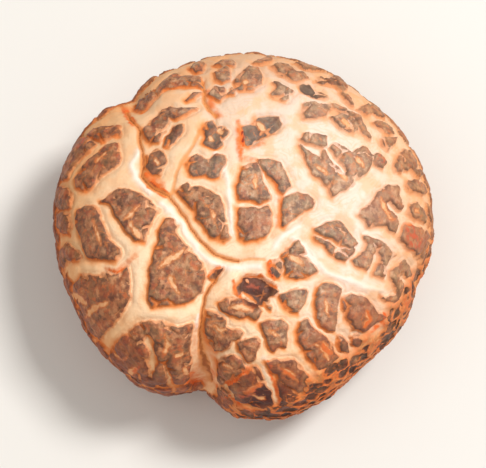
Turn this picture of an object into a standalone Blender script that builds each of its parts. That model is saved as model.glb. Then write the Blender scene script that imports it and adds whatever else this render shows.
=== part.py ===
"""A dried shiitake mushroom: a thick cracked cap, the gills under it and a short cut stem.

Lengths are in millimetres while the shapes are worked out, and become metres when a mesh is written.
The stem's cut end stands on z = 0, the cap's axis is upright, and the origin is under the middle of the cap.
The skin's plates are drawn as the viewer sees them, looking along +Y and 75 degrees down, and are then
laid onto the cap along that line of sight.
"""

import math

import bmesh
import bpy
import numpy as np

METRES = 0.001

# Cap
CAP_RADIUS = 22.6
WIDEST_HEIGHT = 9.8
DOME_RISE = 12.9
DOME_FULLNESS = 2.4
RIM_RADIUS = 16.9
RIM_HEIGHT = 1.2
RIM_INNER_RADIUS = 14.3
RIM_INNER_HEIGHT = 4.4
HOLLOW_RADIUS = 15.6
HOLLOW_CEILING = 11.4
CAP_STEPS = 240
CAP_TRIANGLE_SHARE = 0.225

# Outline of the cap: slow swellings (turns round the cap, size, angle of the crest in degrees)
SWELLINGS = ((2, 0.25, 160.0), (3, 0.30, 40.0), (5, 0.22, 15.0))
# Folds in the edge (angle in degrees, depth, half width in degrees)
EDGE_FOLDS = ((131.0, 1.3, 5.0), (255.0, 2.9, 8.5), (310.0, 1.75, 20.0), (343.0, 0.8, 7.0))

# Skin
VIEW_ELEVATION = math.radians(75.0)
PLATE_SHOULDER = 0.4
VALLEY_REACH = 1.1
VALLEY_DEPTH = 1.0
CREASE_DEPTH = 1.0
CREASE_HALF_WIDTH = 0.7
LOBE_SAG = 1.0
LOBE_REACH = 3.2
FLANK_CELL = 3.9
FLANK_CRACK = 0.45
FLANK_DEPTH = 0.55
HANDOVER = 2.5
RIM_WRINKLES = 27
RIM_WRINKLE_SIZE = 0.3

# Sunken plates (middle as seen, radius, depth)
PITS = (((2.0, 12.5), 2.6, 0.8), ((1.6, -6.3), 2.4, 1.0))

# Gills
GILL_COUNT = 64
GILL_OUTER_RADIUS = 15.1
GILL_INNER_RADIUS = 6.9
GILL_TOP = 11.0
GILL_ROOT = 9.9
GILL_EDGE = 7.8
GILL_HUB_HEIGHT = 8.9
GILL_RINGS = 4

# Stem
STEM_CUT_RADIUS = 5.2
STEM_WAIST_RADIUS = 4.9
STEM_TOP_RADIUS = 6.3
STEM_TOP = 8.6
STEM_STEPS = 40
STEM_FURROWS = ((5, 0.22, 20.0), (9, 0.16, 75.0), (13, 0.10, 10.0))

COLOURS = {
    "cap": ((0.50, 0.36, 0.25, 1.0), 0.85),
    "gills": ((0.72, 0.53, 0.32, 1.0), 0.80),
    "stem": ((0.66, 0.46, 0.27, 1.0), 0.85),
}

# Plates of brown skin, as seen: x to the right and y up, from the middle of the cap
PLATES = (
    # behind the long crease, upper left
    ((-13.3, 16.2), (-9.8, 17.7), (-5.0, 18.2), (-5.5, 19.1), (-8.6, 19.4), (-11.4, 17.4)),
    ((-12.1, 13.2), (-8.8, 15.4), (-5.7, 15.3), (-9.1, 14.1), (-10.2, 11.2), (-12.0, 12.2)),
    ((-9.3, 11.9), (-8.6, 12.9), (-7.3, 12.8), (-8.8, 10.7)),
    ((-11.7, 9.7), (-10.4, 10.2), (-9.2, 8.8), (-10.0, 7.3), (-11.8, 8.5)),
    ((-19.0, 12.0), (-17.0, 13.2), (-15.2, 13.4), (-15.0, 12.3), (-16.9, 11.4)),
    ((-19.3, 5.5), (-19.9, 6.8), (-16.6, 10.8), (-15.3, 11.1), (-15.1, 8.7), (-18.4, 5.9)),
    ((-21.9, 7.6), (-20.7, 9.0), (-20.9, 11.0)),
    ((-22.6, 4.9), (-20.9, 4.4), (-21.7, 3.0)),
    ((-22.5, 2.6), (-20.8, 2.3), (-20.8, 0.2), (-22.6, 1.0)),
    # left
    ((-19.7, 2.9), (-17.5, 3.1), (-14.3, -2.2), (-15.2, -3.0), (-18.4, -2.7), (-19.3, 0.2)),
    ((-16.9, 4.0), (-14.2, 5.5), (-9.9, 3.1), (-11.8, -0.5), (-12.7, -0.6), (-15.7, 3.6)),
    ((-9.0, 2.1), (-5.1, -3.0), (-4.6, -5.3), (-7.1, -7.9), (-10.6, -8.2), (-10.4, -3.0)),
    ((-22.2, -1.9), (-20.0, -2.5), (-21.6, -4.0)),
    ((-19.2, -4.8), (-13.6, -3.8), (-13.7, -8.3), (-17.1, -12.3), (-19.3, -9.8), (-20.3, -6.9)),
    ((-16.0, -14.1), (-12.1, -10.4), (-11.4, -14.0), (-11.9, -17.0), (-14.3, -16.4)),
    ((-11.2, -10.3), (-6.0, -10.4), (-6.3, -15.2), (-8.2, -17.5), (-9.3, -15.2), (-10.9, -16.9)),
    # middle
    ((-7.9, 5.3), (-5.2, 5.7), (-2.5, 3.5), (-1.8, -0.1), (-3.5, -0.1), (-6.0, 3.4)),
    ((-6.7, 8.3), (-5.5, 9.6), (-2.4, 9.3), (-2.9, 7.0), (-6.2, 7.2)),
    ((-4.6, 13.4), (-2.5, 10.6), (-4.7, 10.9)),
    ((-4.2, 17.2), (-2.4, 17.6), (-3.0, 16.4)),
    ((-0.9, 18.0), (0.6, 20.3), (2.1, 19.3), (1.2, 17.5), (-0.7, 17.3)),
    ((-0.1, 12.8), (1.6, 14.1), (3.9, 14.0), (3.7, 12.3), (0.5, 10.6)),
    ((-0.1, 7.9), (1.5, 8.3), (3.0, 4.2), (-0.4, 4.4), (-0.7, 5.6)),
    ((1.8, 8.7), (4.1, 8.6), (5.4, 5.8), (4.1, 5.3)),
    ((4.8, 4.3), (6.3, 4.9), (8.0, 3.6), (4.5, 1.1)),
    ((-0.4, 3.2), (2.8, 3.3), (3.2, 1.1), (0.3, -0.5), (-0.6, 0.9)),
    # upper right
    ((3.5, 20.4), (5.4, 20.3), (7.7, 18.9), (5.2, 18.9)),
    ((3.6, 18.2), (5.8, 17.1), (4.7, 15.9), (3.3, 16.7)),
    ((6.7, 17.8), (8.0, 18.3), (9.9, 16.5), (6.9, 17.2)),
    ((8.6, 18.6), (11.3, 19.3), (12.4, 17.7), (9.4, 18.2)),
    ((7.1, 15.5), (10.3, 15.6), (13.9, 14.0), (15.0, 11.5), (12.2, 14.5), (7.0, 13.9)),
    ((10.3, 14.0), (12.4, 14.1), (13.4, 12.4), (11.2, 13.0)),
    ((6.7, 11.3), (7.2, 12.0), (9.6, 11.6), (9.2, 10.3)),
    ((6.7, 10.2), (10.2, 8.5), (11.5, 6.3), (12.6, 9.2), (14.7, 9.9), (15.1, 9.2), (10.3, 4.5), (8.0, 7.2)),
    ((10.3, 10.6), (12.1, 9.6), (11.2, 8.9)),
    ((15.3, 9.2), (16.5, 9.1), (15.5, 8.2)),
    ((16.5, 11.4), (18.3, 11.7), (17.0, 10.1)),
    ((13.9, 15.1), (15.9, 15.6), (17.0, 14.1), (14.6, 14.4)),
    # right
    ((18.0, 8.4), (19.3, 10.2), (21.5, 7.1), (19.8, 8.0)),
    ((19.2, 5.6), (20.5, 6.5), (21.9, 5.2)),
    ((15.7, 4.8), (18.2, 5.8), (18.9, 3.6), (16.9, 3.0), (18.2, 1.3), (14.6, 0.9), (13.4, 2.4)),
    ((19.6, 2.7), (20.6, 3.7), (22.0, 2.0), (21.8, 1.4)),
    ((18.6, 0.4), (22.1, 0.3), (22.3, -0.9), (21.0, -3.0), (18.4, -0.3)),
    ((14.2, -0.1), (17.9, -2.4), (16.5, -4.9), (14.8, -3.1), (12.7, -3.1)),
    ((8.2, 0.6), (10.9, 1.5), (13.1, -0.9), (9.3, 0.2)),
    ((8.0, -0.2), (12.4, -2.0), (11.8, -3.0), (8.4, -0.8)),
    ((17.4, -4.2), (18.9, -3.1), (20.0, -4.8), (18.9, -7.0), (17.3, -5.0)),
    # lower right
    ((4.3, -2.4), (6.3, -0.8), (8.4, -4.3), (5.1, -4.9)),
    ((-0.7, -6.2), (1.2, -4.9), (3.7, -6.5), (3.1, -8.5), (0.8, -6.9)),
    ((-2.8, -7.9), (0.2, -7.7), (2.1, -8.9), (-1.7, -9.2)),
    ((4.1, -7.0), (7.3, -6.3), (6.3, -9.0), (4.8, -8.2)),
    ((8.7, -6.4), (9.6, -5.6), (11.3, -6.4), (10.3, -12.4), (8.3, -8.6)),
    ((6.6, -10.2), (7.9, -10.9), (10.7, -13.9), (9.6, -15.9), (8.0, -14.6), (6.4, -11.3)),
    ((2.0, -10.3), (4.9, -10.4), (4.8, -13.0), (2.9, -12.8)),
    ((-0.9, -12.6), (1.7, -12.4), (0.4, -14.7)),
    ((-4.2, -9.1), (-2.4, -9.9), (-0.2, -11.2), (-2.1, -13.0), (-4.1, -13.7)),
    ((-3.6, -15.0), (-1.2, -14.2), (0.0, -15.6), (-3.2, -18.0)),
    ((0.4, -16.3), (1.1, -15.3), (3.2, -19.0), (1.2, -19.6), (-2.0, -17.9)),
    ((2.8, -14.9), (6.4, -15.7), (7.6, -17.8), (6.2, -18.2), (3.4, -15.9)),
    ((3.9, -16.9), (6.2, -18.8), (4.2, -19.9)),
    ((11.5, -7.4), (13.8, -7.3), (16.5, -9.6), (12.9, -10.9)),
    ((11.3, -12.2), (13.6, -12.3), (12.5, -14.0)),
    ((9.9, -15.7), (11.8, -15.3), (10.6, -16.8)),
)

# Creases where the cap has folded as it dried (strength, line), in the same view
CREASES = (
    (1.0, ((-14.4, 16.4), (-12.7, 13.1), (-12.3, 10.4), (-12.3, 7.2), (-9.0, 4.8), (-6.2, 0.8), (-3.4, -2.1),
           (-1.6, -2.7), (2.4, -2.7))),
    (1.0, ((-3.4, -4.9), (-4.9, -8.6), (-4.8, -15.5), (-4.7, -19.5))),
    (0.5, ((2.9, -2.4), (5.0, 0.6), (8.0, 1.9))),
    (0.5, ((5.8, -0.4), (7.4, -2.6), (12.0, -5.4), (18.0, -7.4))),
    (0.5, ((-4.9, -8.6), (-11.6, -8.6))),
    (0.4, ((-8.9, 4.8), (-7.8, 8.4), (-5.4, 12.6))),
    (0.5, ((-4.3, 19.4), (-4.6, 16.0), (-3.8, 14.4))),
    (0.5, ((-0.6, 13.2), (-0.3, 8.8))),
)


def smooth_step(low, high, value):
    """0 below low, 1 above high, with a soft change between."""
    share = np.clip((value - low) / (high - low), 0.0, 1.0)
    return share * share * (3.0 - 2.0 * share)


def arc(start, end, centre_at_start_height, count):
    """Quarter of an ellipse from start to end, both (radius, height), without its last point.

    The centre is level with start or level with end.
    """
    (r0, z0), (r1, z1) = start, end
    points = []
    for k in range(count):
        turn = math.pi / 2.0 * k / count
        if centre_at_start_height:
            points.append((r1 + (r0 - r1) * math.cos(turn), z0 + (z1 - z0) * math.sin(turn)))
        else:
            points.append((r0 + (r1 - r0) * math.sin(turn), z1 + (z0 - z1) * math.cos(turn)))
    return points


def dome(count):
    """The cap's upper side as a full cushion curve, from the crown to the widest point, without its last point."""
    power = 2.0 / DOME_FULLNESS
    points = []
    for k in range(count):
        turn = math.pi / 2.0 * (k / count) ** 0.9
        points.append((CAP_RADIUS * math.sin(turn) ** power, WIDEST_HEIGHT + DOME_RISE * math.cos(turn) ** power))
    return points


def cap_profile():
    """The cap's section from the crown over the widest point, round the rolled edge and into the hollow."""
    widest = (CAP_RADIUS, WIDEST_HEIGHT)
    rim = (RIM_RADIUS, RIM_HEIGHT)
    inner = (RIM_INNER_RADIUS, RIM_INNER_HEIGHT)
    corner_low = (HOLLOW_RADIUS, 7.6)
    corner_high = (HOLLOW_RADIUS, HOLLOW_CEILING)
    points = dome(44)
    points += arc(widest, rim, True, 16)
    points += arc(rim, inner, False, 7)
    points += [inner, corner_low, corner_high, (HOLLOW_RADIUS / 2.0, HOLLOW_CEILING), (0.0, HOLLOW_CEILING)]
    return points


def gill_profile():
    """A flat disc: its upper side, its edge, and the underside that the blades are drawn from."""
    radii = np.linspace(GILL_OUTER_RADIUS, GILL_INNER_RADIUS, GILL_RINGS)
    underside = [(radius, GILL_ROOT) for radius in radii]
    return [(0.0, GILL_TOP), (GILL_OUTER_RADIUS, GILL_TOP)] + underside + [(0.0, GILL_ROOT)]


def stem_profile():
    """The stem from its top, where it widens into the cap, down to its cut end."""
    return [
        (0.0, STEM_TOP),
        (STEM_TOP_RADIUS - 0.5, STEM_TOP),
        (STEM_TOP_RADIUS, STEM_TOP - 0.5),
        (STEM_TOP_RADIUS - 0.7, STEM_TOP - 1.8),
        (STEM_WAIST_RADIUS + 0.1, STEM_TOP - 3.4),
        (STEM_WAIST_RADIUS, 4.0),
        (STEM_WAIST_RADIUS + 0.15, 2.4),
        (STEM_CUT_RADIUS, 0.9),
        (STEM_CUT_RADIUS, 0.3),
        (STEM_CUT_RADIUS - 0.3, 0.0),
        (0.0, 0.0),
    ]


def turned(name, profile, steps):
    """A closed turned shape whose mesh holds its section in millimetres, swept round the upright axis."""
    mesh = bpy.data.meshes.new(name + "_section")
    section = bmesh.new()
    corners = [section.verts.new((radius, 0.0, height)) for radius, height in profile]
    for upper, lower in zip(corners, corners[1:]):
        section.edges.new((upper, lower))
    section.to_mesh(mesh)
    section.free()
    shape = bpy.data.objects.new(name, mesh)
    bpy.context.scene.collection.objects.link(shape)
    sweep = shape.modifiers.new("Sweep", "SCREW")
    sweep.steps = steps
    sweep.render_steps = steps
    sweep.use_merge_vertices = True
    sweep.merge_threshold = 0.0001
    swept = bpy.data.meshes.new_from_object(shape.evaluated_get(bpy.context.evaluated_depsgraph_get()))
    shape.modifiers.clear()
    shape.data = swept
    bpy.data.meshes.remove(mesh)
    swept.name = name
    return shape


def read_points(mesh):
    """The mesh's corners as rows of x, y, z."""
    flat = np.empty(len(mesh.vertices) * 3)
    mesh.vertices.foreach_get("co", flat)
    return flat.reshape(-1, 3)


def read_normals(mesh):
    """The outward direction at each corner."""
    flat = np.empty(len(mesh.vertices) * 3)
    mesh.vertices.foreach_get("normal", flat)
    return flat.reshape(-1, 3)


def write_points(mesh, points):
    """Puts rows of x, y, z back into the mesh."""
    mesh.vertices.foreach_set("co", np.ascontiguousarray(points).ravel())
    mesh.update()


def edge_offset(angle):
    """How far the cap's outline stands out from its mean radius at each angle in radians."""
    offset = np.zeros_like(angle)
    for turns, size, crest in SWELLINGS:
        offset += size * np.cos(turns * (angle - math.radians(crest)))
    for place, depth, half_width in EDGE_FOLDS:
        away = np.angle(np.exp(1j * (angle - math.radians(place))))
        offset -= depth * np.exp(-np.abs(away / math.radians(half_width)) ** 1.5)
    return offset


def shape_outline(points):
    """Moves the cap's outside to its uneven outline, and leaves the crown and the hollow round."""
    radius = np.hypot(points[:, 0], points[:, 1])
    angle = np.arctan2(points[:, 1], points[:, 0])
    height = points[:, 2]
    outside = radius - HOLLOW_RADIUS * smooth_step(0.0, 1.0, height / RIM_INNER_HEIGHT)
    share = smooth_step(0.30, 1.0, radius / CAP_RADIUS) ** 1.5
    hollow = (height <= HOLLOW_CEILING + 0.01) & (outside <= 0.05)
    share[hollow] = 0.0
    moved = radius + edge_offset(angle) * share
    factor = np.divide(moved, radius, out=np.ones_like(radius), where=radius > 0.01)
    result = points.copy()
    result[:, 0] *= factor
    result[:, 1] *= factor
    return result


def as_seen(points):
    """Where the viewer sees each point: x to the right and y up, from the middle of the cap."""
    across = points[:, 0]
    up = points[:, 1] * math.sin(VIEW_ELEVATION) + (points[:, 2] - WIDEST_HEIGHT) * math.cos(VIEW_ELEVATION)
    return np.stack((across, up), axis=1)


def nearest_on_line(seen, line, closed):
    """Distance from each seen point to a line of straight stretches, and the offset from its nearest point."""
    ends = list(line) + [line[0]] if closed else list(line)
    best = np.full(len(seen), np.inf)
    offset = np.zeros_like(seen)
    for start, end in zip(np.array(ends[:-1]), np.array(ends[1:])):
        along = end - start
        share = np.clip((seen - start) @ along / (along @ along), 0.0, 1.0)
        away = seen - (start + share[:, None] * along)
        distance = np.hypot(away[:, 0], away[:, 1])
        closer = distance < best
        best[closer] = distance[closer]
        offset[closer] = away[closer]
    return best, offset


def inside(seen, outline):
    """Which seen points lie within an outline."""
    x, y = seen[:, 0], seen[:, 1]
    within = np.zeros(len(seen), dtype=bool)
    for (x0, y0), (x1, y1) in zip(outline, outline[1:] + outline[:1]):
        if y0 == y1:
            continue
        crosses = ((y0 > y) != (y1 > y)) & (x < (x1 - x0) * (y - y0) / (y1 - y0) + x0)
        within ^= crosses
    return within


def true_length(distance, offset, normals):
    """A seen distance turned into one along the skin, which runs away from the viewer near the edge."""
    length = np.maximum(np.hypot(offset[:, 0], offset[:, 1]), 1e-6)
    across = offset[:, 0] / length
    up = offset[:, 1] / length
    slope = np.stack((across, up * math.sin(VIEW_ELEVATION), up * math.cos(VIEW_ELEVATION)), axis=1)
    slope -= np.sum(slope * normals, axis=1)[:, None] * normals
    return distance / np.maximum(np.linalg.norm(slope, axis=1), 0.25)


def outside_plates(seen, normals):
    """Distance beyond the nearest plate's edge, negative within a plate."""
    best = np.full(len(seen), np.inf)
    offset = np.zeros_like(seen)
    within = np.zeros(len(seen), dtype=bool)
    for plate in PLATES:
        distance, away = nearest_on_line(seen, plate, True)
        closer = distance < best
        best[closer] = distance[closer]
        offset[closer] = away[closer]
        within |= inside(seen, plate)
    length = true_length(best, offset, normals)
    return np.where(within, -length, length)


def crease_drop(seen, normals):
    """How far the creases pull the skin down: a narrow cleft in a broad soft sag."""
    drop = np.zeros(len(seen))
    for strength, line in CREASES:
        distance, away = nearest_on_line(seen, line, False)
        length = true_length(distance, away, normals)
        cleft = CREASE_DEPTH * np.exp(-(length / CREASE_HALF_WIDTH) ** 2)
        sag = LOBE_SAG * np.exp(-length / LOBE_REACH)
        drop = np.maximum(drop, strength * (cleft + sag))
    return drop


def flank_cells():
    """Middles of the small plates round the cap's flank, in rows that are offset from each other."""
    spread = np.random.default_rng(7)
    cells = []
    height = RIM_HEIGHT
    row = 0
    while height < WIDEST_HEIGHT + 8.0:
        fall = np.clip((WIDEST_HEIGHT - height) / (WIDEST_HEIGHT - RIM_HEIGHT), 0.0, 1.0)
        radius = RIM_RADIUS + (CAP_RADIUS - RIM_RADIUS) * math.sqrt(1.0 - fall ** 2)
        count = int(2.0 * math.pi * radius / FLANK_CELL)
        for k in range(count):
            angle = 2.0 * math.pi * (k + 0.5 * (row % 2)) / count
            dx, dy, dz = spread.uniform(-0.3, 0.3, 3) * FLANK_CELL
            cells.append((radius * math.cos(angle) + dx, radius * math.sin(angle) + dy, height + dz))
        height += FLANK_CELL * 0.9
        row += 1
    return np.array(cells)


def outside_flank_plates(points):
    """Distance beyond the edge of the nearest small plate on the flank, negative within it."""
    nearest = np.full(len(points), np.inf)
    second = np.full(len(points), np.inf)
    for cell in flank_cells():
        distance = np.linalg.norm(points - cell, axis=1)
        second = np.minimum(second, np.maximum(nearest, distance))
        nearest = np.minimum(nearest, distance)
    return FLANK_CRACK - (second - nearest) / 2.0


def pit_drop(seen):
    """How far the two sunken plates lie below their neighbours."""
    drop = np.zeros(len(seen))
    for (across, up), radius, depth in PITS:
        away = np.hypot(seen[:, 0] - across, seen[:, 1] - up)
        drop += depth * (1.0 - smooth_step(0.5 * radius, radius, away))
    return drop


def skin_relief(points, normals):
    """Height of the skin above the smooth cap: plates at zero, valleys and creases below.

    The drawn plates give way to the flank's own small plates where the skin turns from the viewer.
    """
    seen = as_seen(points)
    sight = np.array((0.0, -math.cos(VIEW_ELEVATION), math.sin(VIEW_ELEVATION)))
    shown = smooth_step(0.10, 0.28, normals @ sight) * smooth_step(0.22, 0.42, normals[:, 2])
    level = smooth_step(0.35, 0.75, normals[:, 2])
    drawn = outside_plates(seen, normals) + HANDOVER * (1.0 - smooth_step(0.0, 0.5, shown))
    flank = outside_flank_plates(points) + HANDOVER * level
    depth = FLANK_DEPTH + (VALLEY_DEPTH - FLANK_DEPTH) * level
    valley = depth * smooth_step(-PLATE_SHOULDER, VALLEY_REACH, np.minimum(drawn, flank))
    return -valley - shown * (crease_drop(seen, normals) + pit_drop(seen))


def rim_wrinkles(points):
    """Small upright folds round the rolled edge."""
    angle = np.arctan2(points[:, 1], points[:, 0])
    low = 1.0 - smooth_step(RIM_HEIGHT + 1.0, WIDEST_HEIGHT, points[:, 2])
    wander = 1.6 * np.sin(3.0 * angle) + 1.1 * np.sin(7.0 * angle + 1.0)
    return RIM_WRINKLE_SIZE * low * np.sin(RIM_WRINKLES * angle + wander)


def on_outside(points, radius_of_hollow=HOLLOW_RADIUS):
    """1 on the cap's outer skin, 0 in the hollow, with a soft change round the lowest part of the edge."""
    radius = np.hypot(points[:, 0], points[:, 1])
    above = smooth_step(HOLLOW_CEILING, HOLLOW_CEILING + 0.5, points[:, 2])
    return np.maximum(above, smooth_step(radius_of_hollow + 0.6, RIM_RADIUS + 0.6, radius))


def make_cap():
    """The cap: turned, given its uneven outline, cracked, and thinned to what its relief needs."""
    cap = turned("cap", cap_profile(), CAP_STEPS)
    mesh = cap.data
    share = on_outside(read_points(mesh))
    write_points(mesh, shape_outline(read_points(mesh)))
    points = read_points(mesh)
    normals = read_normals(mesh)
    relief = (skin_relief(points, normals) + rim_wrinkles(points)) * share
    write_points(mesh, points + normals * relief[:, None])
    thin = cap.modifiers.new("Thin", "DECIMATE")
    thin.ratio = CAP_TRIANGLE_SHARE
    thin.use_collapse_triangulate = True
    return cap


def make_gills():
    """The bed of gills: one blade to every second step of the turned disc."""
    gills = turned("gills", gill_profile(), 2 * GILL_COUNT)
    points = read_points(gills.data)
    radius = np.hypot(points[:, 0], points[:, 1])
    step = np.rint(np.arctan2(points[:, 1], points[:, 0]) / (math.pi / GILL_COUNT)).astype(int)
    underside = points[:, 2] < (GILL_TOP + GILL_ROOT) / 2.0
    bed = underside & (radius > GILL_INNER_RADIUS + 0.1)
    blade = bed & (step % 2 == 0)
    fall = 1.0 - 0.35 * smooth_step(GILL_OUTER_RADIUS - 2.5, GILL_OUTER_RADIUS, radius)
    points[blade, 2] = GILL_TOP - (GILL_TOP - GILL_EDGE) * fall[blade]
    points[underside & ~bed, 2] = GILL_HUB_HEIGHT
    write_points(gills.data, points)
    return gills


def make_stem():
    """The stem: turned, with long furrows that leave its two ends flat."""
    stem = turned("stem", stem_profile(), STEM_STEPS)
    points = read_points(stem.data)
    angle = np.arctan2(points[:, 1], points[:, 0])
    radius = np.hypot(points[:, 0], points[:, 1])
    furrow = np.zeros(len(points))
    for turns, size, crest in STEM_FURROWS:
        lean = 0.12 * points[:, 2]
        furrow += size * np.cos(turns * (angle - math.radians(crest)) + lean)
    factor = 1.0 + furrow * smooth_step(0.0, STEM_WAIST_RADIUS, radius) / STEM_WAIST_RADIUS
    points[:, 0] *= factor
    points[:, 1] *= factor
    write_points(stem.data, points)
    return stem


def dress(shape, collection):
    """Moves a finished shape into its collection, with its own material and soft shading."""
    colour, roughness = COLOURS[shape.name]
    material = bpy.data.materials.new(shape.name)
    material.use_nodes = True
    surface = material.node_tree.nodes["Principled BSDF"]
    surface.inputs["Base Color"].default_value = colour
    surface.inputs["Roughness"].default_value = roughness
    surface.inputs["Metallic"].default_value = 0.0
    shape.data.materials.clear()
    shape.data.materials.append(material)
    shape.data.shade_smooth()
    shape.data.set_sharp_from_angle(angle=math.radians(50.0))
    bpy.context.scene.collection.objects.unlink(shape)
    collection.objects.link(shape)


def settle(shapes, cap):
    """Centres the shapes on the finished cap, and turns millimetres into metres."""
    corners = np.array([corner[:] for corner in cap.bound_box])
    middle = (corners.min(axis=0) + corners.max(axis=0)) / 2.0
    middle[2] = 0.0
    for shape in shapes:
        write_points(shape.data, (read_points(shape.data) - middle) * METRES)


def main():
    """Builds the mushroom in an emptied scene."""
    for leftover in list(bpy.data.objects):
        bpy.data.objects.remove(leftover)
    collection = bpy.data.collections.new("dried_shiitake")
    bpy.context.scene.collection.children.link(collection)
    cap = make_cap()
    shapes = [cap, make_gills(), make_stem()]
    bpy.context.view_layer.update()
    settle(shapes, cap)
    for shape in shapes:
        dress(shape, collection)


main()
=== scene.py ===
"""Looks of a dried shiitake mushroom: its cracked cap, gills and cut stem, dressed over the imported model.

Sizes are in millimetres while shapes are worked out, and become metres when a mesh is finished.
"""

from __future__ import annotations

import logging
import math
from dataclasses import dataclass, field, replace
from enum import Enum

import bmesh
import bpy
import numpy as np
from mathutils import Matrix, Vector, kdtree, noise


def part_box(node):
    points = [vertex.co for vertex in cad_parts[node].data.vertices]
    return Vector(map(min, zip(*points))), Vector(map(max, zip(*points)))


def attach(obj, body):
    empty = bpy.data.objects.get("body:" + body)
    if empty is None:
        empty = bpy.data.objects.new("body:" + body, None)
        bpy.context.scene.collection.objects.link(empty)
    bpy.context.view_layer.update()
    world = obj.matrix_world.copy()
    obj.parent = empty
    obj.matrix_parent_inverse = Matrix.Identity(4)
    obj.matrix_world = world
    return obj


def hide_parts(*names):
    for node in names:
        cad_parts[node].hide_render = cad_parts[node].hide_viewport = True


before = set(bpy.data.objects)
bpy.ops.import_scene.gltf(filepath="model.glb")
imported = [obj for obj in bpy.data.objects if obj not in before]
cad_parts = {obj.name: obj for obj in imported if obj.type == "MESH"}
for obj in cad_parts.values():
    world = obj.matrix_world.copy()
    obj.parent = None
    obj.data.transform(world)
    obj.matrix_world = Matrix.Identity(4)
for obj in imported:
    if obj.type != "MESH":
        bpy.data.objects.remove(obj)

METRES = 0.001
BODY = "root"
TINY = 1e-6

Array = np.ndarray
Mesh = bpy.types.Mesh
Material = bpy.types.Material
Socket = bpy.types.NodeSocket
Point = tuple[float, float]
Line = tuple[Point, ...]
Triple = tuple[float, float, float]
Paint = tuple[float, float, float, float]
Source = Socket | float | tuple[float, ...]

log = logging.getLogger("mushroom")


class Mark(Enum):
    """What a corner of the cap's mesh tells its material, as a named attribute."""

    BEYOND = "beyond"
    CREASE = "crease"
    SHADE = "shade"
    WARMTH = "warmth"
    EMBER = "ember"
    FLANK = "flank"
    # How far a plate's edge faces away from the key light, which the material paints as shade.
    SIDE = "side"
    STREAK = "streak"
    RIDGE = "ridge"
    RAGGED = "ragged"


class NodeName(Enum):
    """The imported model's nodes."""

    CAP = "cap"
    GILLS = "gills"
    STEM = "stem"


@dataclass(frozen=True)
class Crease:
    """A line where the cap folded as it dried, as the viewer sees it."""

    strength: float
    width: float
    line: Line


@dataclass(frozen=True)
class Streak:
    """A short light crack within a plate, widest at its middle."""

    width: float
    line: Line
    middle_width: float = 1.15
    taper: float = 1.1

    def over(self, seen: Array, length: Array) -> Array:
        """How far within the crack each corner lies.

        Args:
            seen: Where the viewer sees each corner.
            length: Its distance from the line.

        Returns:
            The distances, negative outside the crack.
        """
        ends = np.array((self.line[0], self.line[-1]))
        middle = ends.mean(axis=0)
        half = np.hypot(*(ends[1] - ends[0])) / 2.0 + self.width
        share = np.hypot(seen[:, 0] - middle[0], seen[:, 1] - middle[1]) / half
        return self.width * (self.middle_width - self.taper * share ** 2) - length


@dataclass(frozen=True)
class Ridge:
    """A raised line in the flesh, painted brighter along its top as a highlight."""

    width: float
    line: Line

    def over(self, _: Array, length: Array) -> Array:
        """How high it stands at a distance from the line, from 0 to 1."""
        return np.exp(-(length / self.width) ** 2)


@dataclass(frozen=True)
class Ember:
    """A stretch of orange flesh, partly flesh that dried to orange and partly painted shade where a crease or
    wall lies in shadow; where the strength is above 1 it turns a deep red.
    """

    width: float
    strength: float
    line: Line
    full: float = 0.2
    faded: float = 1.3

    def over(self, _: Array, length: Array) -> Array:
        """How orange the flesh is at a distance from the line."""
        return self.strength * (1.0 - smooth_step(self.full, self.faded, length / self.width))


@dataclass(frozen=True)
class Patch:
    """A soft round patch where the plates are darker, warmer or sunken."""

    middle: Point
    radius: float
    shade: float = 0.0
    warmth: float = 0.0
    sunk: float = 0.0


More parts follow.
